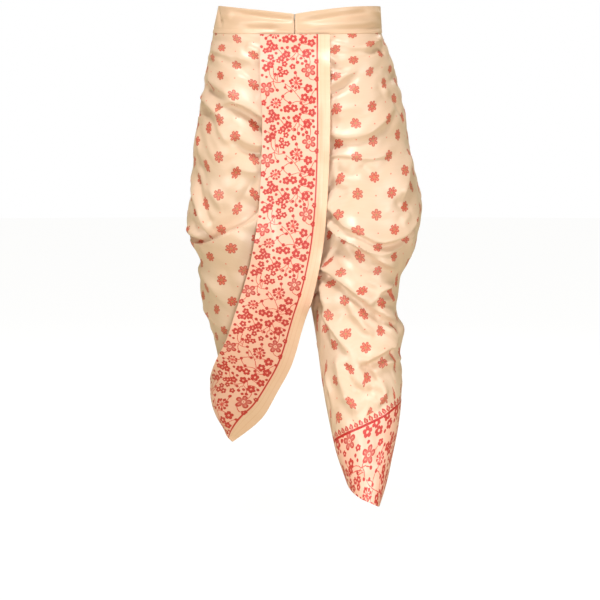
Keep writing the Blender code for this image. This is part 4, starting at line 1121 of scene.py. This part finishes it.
def nearest_motif(tree, place, chart):
    """The distance from the nearest charted motif, in its own size, and the angle round it."""
    best = FAR_PLACE
    size = FAR
    for across, down, radius, turn in chart:
        middle = (across, down, -turn * radius / TURN_STEP)
        local = add_node(tree, "VectorMath:SUBTRACT", place, middle)
        local = add_node(tree, "VectorMath:WRAP", local, HALF_CELL, -HALF_CELL)
        local = add_node(tree, "VectorMath:SCALE", local, at={3: 1 / radius})
        length = add_node(tree, "VectorMath:LENGTH", local, out=1)
        closer = add_node(tree, "Math:LESS_THAN", length, size)
        best = add_node(tree, "Mix", closer, at={4: best, 5: local}, out=1, data_type="VECTOR")
        size = add_node(tree, "Math:MINIMUM", length, size)
    split = add_node(tree, "SeparateXYZ", best).node
    angle = add_node(tree, "Math:ARCTAN2", split.outputs[0], split.outputs[1])
    turn = add_node(tree, "Math:MULTIPLY", split.outputs[2], TURN_STEP)
    return size, add_node(tree, "Math:ADD", angle, turn)


def printed_stem(tree, place, across, down, end_across, end_down, bow):
    """How far a place lies from a stem, which is an arc of a circle between two ends."""
    chord = math.dist((across, down), (end_across, end_down))
    radius = (chord * chord / 4 + bow * bow) / (2 * abs(bow))
    outward = (-(end_down - down) / chord * math.copysign(1, bow),
               (end_across - across) / chord * math.copysign(1, bow))
    flat = radius - abs(bow)
    centre = ((across + end_across) / 2 - outward[0] * flat,
              (down + end_down) / 2 - outward[1] * flat, 0)
    local = add_node(tree, "VectorMath:SUBTRACT", place, centre)
    local = add_node(tree, "VectorMath:WRAP", local, HALF_STEM_CELL, -HALF_STEM_CELL)
    length = add_node(tree, "VectorMath:LENGTH", local, out=1)
    away = add_node(tree, "Math:ABSOLUTE", add_node(tree, "Math:SUBTRACT", length, radius))
    along = add_node(tree, "VectorMath:DOT_PRODUCT", local, (*outward, 0), out=1)
    return add_node(tree, "Math:MAXIMUM", away, add_node(tree, "Math:SUBTRACT", flat, along))


def flower_print():
    """A group that prints the border: a place in mm gives shares of ink, stem and pale."""
    tree = bpy.data.node_groups.new("flower_and_stem_print", "ShaderNodeTree")
    tree.interface.new_socket("Place", in_out="INPUT", socket_type="NodeSocketVector")
    for label in ("Ink", "Stem", "Pale"):
        tree.interface.new_socket(label, in_out="OUTPUT", socket_type="NodeSocketFloat")
    given = tree.nodes.new("NodeGroupInput").outputs[0]
    wobble = add_node(tree, "TexNoise", given, at={2: FLOWER_WOBBLES, 3: 1.0}, out=1)
    wobble = add_node(tree, "VectorMath:SUBTRACT", wobble, (0.5, 0.5, 0.5))
    wobble = add_node(tree, "VectorMath:MULTIPLY", wobble, FLOWER_WOBBLE)
    place = add_node(tree, "VectorMath:ADD", given, wobble)
    place = add_node(tree, "VectorMath:MULTIPLY", place, (1.0, 1.0, 0.0))
    # Ring flowers: five round lobes with an open middle
    size, angle = nearest_motif(tree, place, RING_FLOWERS)
    half_turns = add_node(tree, "Math:MULTIPLY", angle, FLOWER_PETALS / 2)
    lobe = add_node(tree, "Math:ABSOLUTE", add_node(tree, "Math:COSINE", half_turns))
    lobe = add_node(tree, "Math:POWER", lobe, RING_LOBE_POWER)
    reach = add_node(tree, "MapRange", lobe, 0.0, 1.0, *RING_LOBES)
    outer = add_node(tree, "Math:SUBTRACT", size, reach)
    ink = add_node(tree, "MapRange", outer, *RING_EDGE, 1.0, 0.0, **SOFT)
    hole = add_node(tree, "MapRange", size, *RING_HOLE, 0.0, 1.0, **SOFT)
    ink = add_node(tree, "Math:MULTIPLY", ink, hole)
    # Open flowers: five outlined petals with a pale streak, and a dark eye in a pale middle
    size, angle = nearest_motif(tree, place, OPEN_FLOWERS)
    half_turns = add_node(tree, "Math:MULTIPLY", angle, FLOWER_PETALS / 2)
    wave = add_node(tree, "Math:ABSOLUTE", add_node(tree, "Math:COSINE", half_turns))
    petal = add_node(tree, "Math:POWER", wave, OPEN_LOBE_POWER)
    reach = add_node(tree, "MapRange", petal, 0.0, 1.0, *OPEN_LOBES)
    outer = add_node(tree, "Math:SUBTRACT", size, reach)
    open_ink = add_node(tree, "MapRange", outer, *OPEN_EDGE, 1.0, 0.0, **SOFT)
    pale = add_node(tree, "MapRange", outer, *OPEN_RIM, **SOFT)
    streak = add_node(tree, "MapRange", wave, *STREAK_SIDES, **SOFT)
    along = add_node(tree, "Math:ABSOLUTE", add_node(tree, "Math:SUBTRACT", size, STREAK_PLACE))
    along = add_node(tree, "MapRange", along, *STREAK_ENDS, 1.0, 0.0, **SOFT)
    pale = add_node(tree, "Math:MAXIMUM", pale, add_node(tree, "Math:MULTIPLY", streak, along))
    heart = add_node(tree, "MapRange", size, *OPEN_HEART, 1.0, 0.0, **SOFT)
    eye = add_node(tree, "MapRange", size, *OPEN_EYE, 1.0, 0.0, **SOFT)
    pale = add_node(tree, "Math:MAXIMUM", pale, add_node(tree, "Math:SUBTRACT", heart, eye))
    ink = add_node(tree, "Math:MAXIMUM", ink, open_ink)
    # Seed heads: a ring of seeds on fine spokes
    size, angle = nearest_motif(tree, place, SEED_HEADS)
    slice_angle = add_node(tree, "Math:WRAP", angle, math.pi / SEEDS, -math.pi / SEEDS)
    sideways = add_node(tree, "Math:MULTIPLY", size, add_node(tree, "Math:SINE", slice_angle))
    outwards = add_node(tree, "Math:MULTIPLY", size, add_node(tree, "Math:COSINE", slice_angle))
    from_seed = add_node(tree, "Math:SUBTRACT", outwards, SEED_PLACE)
    seed = add_node(tree, "CombineXYZ", sideways, from_seed)
    seed = add_node(tree, "VectorMath:LENGTH", seed, out=1)
    seed = add_node(tree, "MapRange", seed, *SEED_EDGE, 1.0, 0.0, **SOFT)
    ink = add_node(tree, "Math:MAXIMUM", ink, seed)
    spoke = add_node(tree, "Math:ABSOLUTE", sideways)
    spoke = add_node(tree, "MapRange", spoke, *SPOKE_EDGE, 1.0, 0.0, **SOFT)
    spoke_length = add_node(tree, "MapRange", size, *SPOKE_END, 1.0, 0.0, **SOFT)
    spoke = add_node(tree, "Math:MULTIPLY", spoke, spoke_length)
    # Buds: small round drops
    bud = FAR
    for across, down, radius in BUDS:
        local = add_node(tree, "VectorMath:SUBTRACT", place, (across, down, 0))
        local = add_node(tree, "VectorMath:WRAP", local, HALF_CELL, -HALF_CELL)
        length = add_node(tree, "VectorMath:LENGTH", local, out=1)
        bud = add_node(tree, "Math:MINIMUM", bud, add_node(tree, "Math:SUBTRACT", length, radius))
    bud = add_node(tree, "MapRange", bud, *BUD_EDGE, 1.0, 0.0, **SOFT)
    ink = add_node(tree, "Math:MAXIMUM", ink, bud)
    # Stems, with the spokes of the seed heads
    stem = FAR
    for chart in STEMS:
        stem = add_node(tree, "Math:MINIMUM", stem, printed_stem(tree, place, *chart))
    stem = add_node(tree, "MapRange", stem, *STEM_EDGE, 1.0, 0.0, **SOFT)
    stem = add_node(tree, "Math:MAXIMUM", stem, spoke)
    worn = add_node(tree, "TexNoise", given, at={2: FLOWER_PATCHES, 3: 2.0})
    worn = add_node(tree, "MapRange", worn, *FLOWER_WORN)
    given_out = tree.nodes.new("NodeGroupOutput")
    for index, value in enumerate((add_node(tree, "Math:MULTIPLY", ink, worn), stem, pale)):
        tree.links.new(value, given_out.inputs[index])
    return tree


# How far from the red line the stems stop, and the soft edge of the line, in mm
LINE_CLEARANCE = 0.6
LINE_EDGE = (-0.2, 0.4)


def flowered_satin(name, line_at, line_width):
    """Satin dyed peach and printed in red: the print is crisp and a little duller than the
    cloth round it, with a red line at a distance across the cloth."""
    material = bpy.data.materials.new(name)
    material.use_nodes = True
    tree = material.node_tree
    place = in_millimetres(tree, "cloth")
    colour = satin_ground(tree, place, PEACH, PEACH_DEEP)
    printed = add_node(tree, "Group", node_tree=FLOWER_PRINT).node
    tree.links.new(place, printed.inputs[0])
    ink, stem, pale = printed.outputs[:3]
    across = add_node(tree, "SeparateXYZ", place, out=0)
    from_line = add_node(tree, "Math:SUBTRACT", across, line_at)
    from_line = add_node(tree, "Math:ABSOLUTE", from_line)
    clear = add_node(tree, "MapRange", from_line, line_width, line_width + LINE_CLEARANCE,
                     0.0, 1.0)
    stem = add_node(tree, "Math:MULTIPLY", stem, clear)
    line = add_node(tree, "MapRange", from_line, line_width / 2 + LINE_EDGE[0],
                    line_width / 2 + LINE_EDGE[1], 1.0, 0.0, **SOFT)
    for share, over in ((stem, STEM_INK), (ink, RED_INK), (pale, PEACH), (line, RED_INK)):
        colour = inked(tree, colour, share, over)
    finish_satin(material, colour, place, ink)
    return material


FLOWER_PRINT = flower_print()
BORDER_ROWS = 60
# The print lies square to the border's slanted seam, so it runs slower down the cloth. The
# square of its speed stays above this.
LEAST_DROP = 0.3
BORDER_LINE_WIDTH = 4.2
BORDER_PRINT_SCALE = 0.86
# Where an open flower lies at the front of the border, as x and z
BORDER_FLOWER = (127, -811)
LEFT_HEM = ((0.0, -872), (0.2, -884), (0.45, -898), (0.7, -911), (0.85, -911),
            (1.0, -902), (1.3, -880), (1.7, -868), (2.0, -872))

around = np.concatenate([FACES["front"], FACES["back"][1:]])
border_top = [(place, z - SEAM_GAP / MM) for place, z in LEFT_BORDER_TOP]
points, around_grid, z_grid = leg_cloth("left", around, BORDER_ROWS, border_top, LEFT_HEM)
slant = np.gradient(edge_heights(border_top, around)) / np.gradient(run_along(points, 1)[0])
down = run_along(points, 0) * np.sqrt(np.clip(1 - slant ** 2, LEAST_DROP, 1.0))
uv = np.stack([down, run_along(points, 1)[:1].repeat(len(points), axis=0)], axis=-1)
uv = uv * BORDER_PRINT_SCALE
shift = np.array(OPEN_FLOWERS[1][:2]) * MM - nearest_uv(points, uv, BORDER_FLOWER)
border_satin = flowered_satin("red_printed_peach_satin", shift[0] / MM, BORDER_LINE_WIDTH)
uv = uv + shift
border = cloth_sheet("left_hem_border_satin", points, 1, LEG_CLOTH, {"cloth": uv}, border_satin)
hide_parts("left_hem_border")
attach(border, "root")

# ---------------------------------------------------------------------------------------
# The fall panel: a long strip of the same printed satin, sewn into the waist seam, that
# hangs down the front and wraps round the outside of the right shin. A plain folded edge
# is sewn down its free side, past a red line.
PANEL_CLOTH = 1.0 * MM
PANEL_SOLID_CLOTH = 1.6 * MM
PANEL_GAP = 0.12 * MM
PANEL_WIDTH = 131.0 * MM
EDGE_STRIP_WIDTH = 21.0 * MM
PANEL_COLUMNS = 64
EDGE_COLUMNS = 12
PANEL_LENGTH_ROWS = 300
# The panel is first brought clear of the legs on a coarse grid, which is then smoothed. It
# stands off them by the seam's gap at the waist and by the clearance once it hangs free,
# down to where it wraps the shin.
COARSE_COLUMNS = 11
COARSE_ROWS = 34
SURFACE_SHARES = 41
PANEL_REACH = 12.0 * MM
PANEL_CLEARANCE = 3.0 * MM
PANEL_FREE_DROP = 80.0 * MM
PANEL_SMOOTHING = 4
WRAP_HEIGHT = -700 * MM
# Where the first repeat of the print starts, and how much longer a stretch of the print may
# be than that stretch looks from the front
PRINT_START = 71.0 * MM
PRINT_EASE = 1.09
PANEL_LINE_WIDTH = 2.6
# Rows from the waist down, each across the strip: its left edge, its middle, its right edge
PANEL_ROWS = (
    (-75, -108, -33, -10, -113, -33, 56, -110, -33),
    (-74, -130, -110, -10, -136, -110, 56, -134, -110),
    (-70, -140, -193, -8, -144, -193, 56, -146, -193),
    (-72, -140, -270, -9, -146, -271, 54, -148, -272),
    (-76, -130, -345, -12, -142, -347, 50, -146, -350),
    (-84, -112, -412, -20, -130, -420, 43, -138, -428),
    (-97, -96, -475, -34, -114, -490, 28, -118, -505),
    (-117, -72, -540, -55, -88, -557, 8, -84, -575),
    (-141, -22, -612, -80, -42, -636, -15, -30, -660),
    (-162, 46, -655, -108, 0, -690, -45, 16, -722),
    (-175, 96, -690, -132, 32, -724, -66, 52, -764),
    (-178, 126, -714, -158, 72, -752, -84, 76, -788),
    (-170, 156, -738, -164, 106, -782, -110, 98, -812),
    (-148, 184, -764, -152, 144, -806, -134, 122, -832),
)


def curve_through(rows, count):
    """Smooth rows between the rows of a table, evenly spread over the table."""
    known = np.arange(len(rows))
    wanted = np.linspace(0, len(rows) - 1, count)
    flat = np.asarray(rows, float).reshape(len(rows), -1)
    smooth = [smooth_between(known, column, wanted) for column in flat.T]
    return np.stack(smooth, axis=-1).reshape((count,) + np.shape(rows)[1:])


def panel_rows(shares, rows):
    """The fall panel at the given shares of its width, as a grid of points."""
    lines = curve_through(np.array(PANEL_ROWS, float) * MM, rows + 1)[:, None]
    left, middle, right = lines[..., 0:3], lines[..., 3:6], lines[..., 6:9]
    u = np.asarray(shares)[None, :, None]
    return (left * (2 * u - 1) * (u - 1) + middle * 4 * u * (1 - u)
            + right * u * (2 * u - 1))


def front_depth(side, x, z):
    """How far forward a folded leg lies behind each place, or nothing if it isn't there."""
    shares = np.linspace(0, 1, SURFACE_SHARES)
    around = np.broadcast_to(shares, (len(z), len(shares)))
    surface = leg_surface(side, around, np.broadcast_to(z[:, None], around.shape))
    depth = np.full(len(z), np.inf)
    for index, line in enumerate(surface):
        near = np.abs(line[:, 0] - x[index]) < PANEL_REACH
        if near.any():
            depth[index] = line[near, 1].min()
    return depth


def clear_of_legs(points):
    """Brings the panel forward where it would touch the legs, and smooths what moved."""
    flat = points.reshape(-1, 3)
    limit = np.full(len(flat), np.inf)
    for side in LEGS:
        limit = np.minimum(limit, front_depth(side, flat[:, 0], flat[:, 2]))
    free = fade(WAIST_SEAM_HEIGHT - flat[:, 2], PANEL_FREE_DROP)
    limit -= PANEL_SOLID_CLOTH + SEAM_GAP + (PANEL_CLEARANCE - SEAM_GAP) * free
    limit = limit.reshape(points.shape[:2])
    limit[points[..., 2] < WRAP_HEIGHT] = np.inf
    limit[2:-1] = np.minimum(np.minimum(limit[1:-2], limit[3:]), limit[2:-1])
    depth = points[..., 1]
    for _ in range(PANEL_SMOOTHING):
        depth = np.minimum(depth, limit)
        wide = np.pad(depth, 1, mode="edge")
        depth = (wide[:-2, 1:-1] + wide[2:, 1:-1] + wide[1:-1, :-2] + wide[1:-1, 2:]
                 + 4 * depth) / 8
    points[..., 1] = np.minimum(depth, limit)
    return points


strip_start = 1 - EDGE_STRIP_WIDTH / PANEL_WIDTH
coarse = clear_of_legs(panel_rows(np.linspace(0, 1, COARSE_COLUMNS + 1), COARSE_ROWS))
tall = curve_through(coarse, PANEL_LENGTH_ROWS + 1)
shares = np.concatenate([np.linspace(0, strip_start - PANEL_GAP / PANEL_WIDTH, PANEL_COLUMNS + 1),
                         np.linspace(strip_start, 1, EDGE_COLUMNS + 1)])
known = np.linspace(0, 1, COARSE_COLUMNS + 1)
fall = np.stack([[smooth_between(known, row[:, axis], shares) for axis in range(3)]
                 for row in tall]).transpose(0, 2, 1)
across = np.broadcast_to(shares * PANEL_WIDTH, fall.shape[:2])
# The print is measured down the cloth, and a little eased where the cloth lies steeply back
steps = np.linalg.norm(np.diff(fall, axis=0), axis=-1)
fronts = np.linalg.norm(np.diff(fall[..., ::2], axis=0), axis=-1)
run = np.cumsum(np.minimum(steps, fronts * PRINT_EASE), axis=0)
down = np.concatenate([[[0.0]], (run[:, :1] + run[:, -1:]) / 2])
uv = np.stack([across, np.broadcast_to(down, fall.shape[:2]) - PRINT_START], axis=-1)

panel_satin = flowered_satin("red_printed_panel_satin", PRINT_WIDTH - PANEL_LINE_WIDTH,
                             PANEL_LINE_WIDTH)
panel = cloth_sheet("front_panel_satin", fall[:, :PANEL_COLUMNS + 1], 1, PANEL_CLOTH,
                    {"cloth": uv[:, :PANEL_COLUMNS + 1]}, panel_satin)
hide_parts("front_panel")
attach(panel, "root")

# ---------------------------------------------------------------------------------------
# The panel's edge: a plain strip of the cream satin, folded in half along its length and
# stitched beside the print.
EDGE_CREAM = "#F6CFB5"
EDGE_DEEP = "#EEBE9B"
# Where the lines of stitches lie across the strip, from the panel's left edge, how soft
# their edges are, both in mm, and how strongly their thread shows
EDGE_SEAMS = (114.0, 121.5)
STITCH_EDGE = (0.25, 0.95)
STITCH_THREAD = "#E0A878"
STITCH_SHARE = 0.28


def plain_satin(name, light, deep, stitch_and_shade_places=(), thread_and_shade=STITCH_THREAD, thread_and_shade_share=STITCH_SHARE):
    """Satin dyed cream with no print, in the same yarn and with the same soft gloss, with
    lines along it, each showing by its share: stitching, and painted shadow at the slit."""
    material = bpy.data.materials.new(name)
    material.use_nodes = True
    tree = material.node_tree
    place = in_millimetres(tree, "cloth")
    colour = satin_ground(tree, place, light, deep)
    across = add_node(tree, "SeparateXYZ", place, out=0)
    for seam in stitch_and_shade_places:
        away = add_node(tree, "Math:ABSOLUTE", add_node(tree, "Math:SUBTRACT", across, seam))
        # On the panel's edge this line is stitching; along the band's slit it is painted shadow of
        # the gap
        stitch_and_shade_line = add_node(tree, "MapRange", away, *STITCH_EDGE, thread_and_shade_share, 0.0, **SOFT)
        colour = inked(tree, colour, stitch_and_shade_line, thread_and_shade)
    finish_satin(material, colour, place)
    return material


edge_satin = plain_satin("plain_folded_satin", EDGE_CREAM, EDGE_DEEP, EDGE_SEAMS)
edge = cloth_sheet("front_panel_edge_satin", fall[:, PANEL_COLUMNS + 1:], 1, PANEL_CLOTH,
                   {"cloth": uv[:, PANEL_COLUMNS + 1:]}, edge_satin)
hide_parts("front_panel_edge")
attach(edge, "root")

# ---------------------------------------------------------------------------------------
# The waistband: a deep band of plain cream satin with a firm lining in it, in two fronts
# that meet at a slit and one back, sewn on over the tops of the legs and the panel.
BAND_CLOTH = 1.8 * MM
BAND_ROWS = 26
# The band lies this far outside the legs' cloth, and reaches this far below their seam
BAND_PROUD = 1.1 * MM
BAND_OVERLAP = 1.3 * MM
BAND_SEAM = 0.2 * MM
# The slit at the centre front: how wide it stands, and how far and from where the cloth
# turns in to it
SLIT_GAP = 0.7 * MM
SLIT_TURN = 3.2 * MM
SLIT_TURN_LENGTH = 4.5 * MM
# A dark line along the slit's edges: painted shadow of the narrow gap between them
SLIT_PAINTED_SHADOW = "#43362A"
SLIT_SHADOW_SHARE = 0.95
BAND_CREAM = "#E2C1A6"
BAND_DEEP = "#D3AA88"
# The band's top edge from the centre front to the centre back: how far round, x, y and z
BAND_TOPS = {
    "left": ((0.0, -10, -114, 5), (0.2, 29, -112, 11), (0.45, 86, -92, 18.5),
             (0.72, 133, -52, 22), (1.0, 154, 0, 23), (1.35, 133, 54, 15),
             (1.65, 70, 96, 7), (2.0, -10, 110, 3)),
    "right": ((0.0, -10, -114, 5), (0.2, -67, -106, 11.5), (0.45, -114, -78, 17.5),
              (0.72, -143, -42, 22), (1.0, -156, 0, 24), (1.35, -135, 54, 15),
              (1.65, -84, 94, 7), (2.0, -10, 110, 3)),
}
# Shallow wrinkles along the band: where each starts and ends round it and down it, as
# shares, its height in mm and its width as a share of the band's depth
WRINKLES = {
    "right": (
        (-0.1, 0.30, 0.62, 0.20, -5.9, 0.13), (0.0, 0.52, 0.60, 0.60, 3.6, 0.11),
        (0.10, 0.74, 0.45, 0.82, -3.1, 0.08), (0.66, 0.72, 0.94, 0.12, -5.0, 0.12),
        (0.52, 0.30, 0.80, 0.38, 3.6, 0.12), (1.10, 0.40, 1.60, 0.46, 1.3, 0.10),
        (1.30, 0.66, 1.90, 0.60, -1.3, 0.10),
    ),
    "left": (
        (-0.02, 0.40, 0.80, 0.22, -5.6, 0.13), (0.04, 0.74, 0.85, 0.52, 3.9, 0.12),
        (0.30, 0.84, 0.95, 0.78, -3.1, 0.08), (0.62, 0.14, 0.98, 0.30, 3.1, 0.10),
        (1.10, 0.42, 1.60, 0.46, 1.1, 0.10), (1.30, 0.66, 1.90, 0.60, -1.1, 0.10),
    ),
}
# A wrinkle rises and dies away over this share of its length
WRINKLE_ENDS = 0.3
# The crease where the band is stitched down: how far down the band it is and how wide, as
# shares of its depth, with its depth in mm between them
SEAM_CREASE = (0.84, 0.6, 0.025)


def band_rows(side, around):
    """One stretch of the band, from its folded top edge to just over its seam."""
    rows = np.array(BAND_TOPS[side], float)
    top = np.stack([smooth_between(rows[:, 0], rows[:, i] * MM, around)
                    for i in (1, 2, 3)], axis=-1)
    low = LEGS[side].point(around, edge_heights(WAIST_SEAM, around) - BAND_OVERLAP)
    outs = LEGS[side].normal(around, edge_heights(WAIST_SEAM, around))
    share = np.linspace(0, 1, BAND_ROWS + 1)[:, None]
    rise = BAND_PROUD * share
    for start, start_down, end, end_down, height, width in WRINKLES[side]:
        along = (around - start) / (end - start)
        middle = start_down + (end_down - start_down) * np.clip(along, 0, 1)
        held = fade(along, WRINKLE_ENDS) * fade(1 - along, WRINKLE_ENDS)
        rise = rise + height * MM * held * np.exp(-((share - middle) / width) ** 2)
    at, depth, width = SEAM_CREASE
    rise = rise - depth * MM * np.exp(-((share - at) / width) ** 2)
    # The cloth turns in along the slit
    from_slit = np.concatenate([[0.0], np.cumsum(np.linalg.norm(np.diff(low, axis=0), axis=1))])
    rise = rise - SLIT_TURN * np.clip(1 - from_slit / SLIT_TURN_LENGTH, 0, 1) ** 2
    points = top[None] * (1 - share[..., None]) + low[None] * share[..., None]
    return points + outs[None] * rise[..., None]


band_satin = plain_satin("plain_waistband_satin", BAND_CREAM, BAND_DEEP)
# The band's fronts carry a dark line along the slit, painted shadow of its narrow gap
slit_shadow_satin = plain_satin("plain_waistband_satin_with_painted_slit_shadow", BAND_CREAM, BAND_DEEP,
                         (0.0,), SLIT_PAINTED_SHADOW, SLIT_SHADOW_SHARE)
bands = {side: pinched(pinched(band_rows(side, FACES["front"]), 0, SLIT_GAP / 2), -1, BAND_SEAM)
         for side in LEGS}
bands["back"] = np.concatenate([band_rows("left", FACES["back"]),
                                band_rows("right", FACES["back"][::-1])[:, 1:]], axis=1)
bands["back"] = pinched(pinched(bands["back"], 0, BAND_SEAM), -1, BAND_SEAM)
for side, points in bands.items():
    name = "waistband_back" if side == "back" else "waistband_front_" + side
    uv = np.stack([run_along(points, 1), run_along(points, 0)], axis=-1)
    band = cloth_sheet(name + "_satin", points, -1 if side == "right" else 1, BAND_CLOTH,
                       {"cloth": uv}, band_satin if side == "back" else slit_shadow_satin)
    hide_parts(name)
    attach(band, "root")
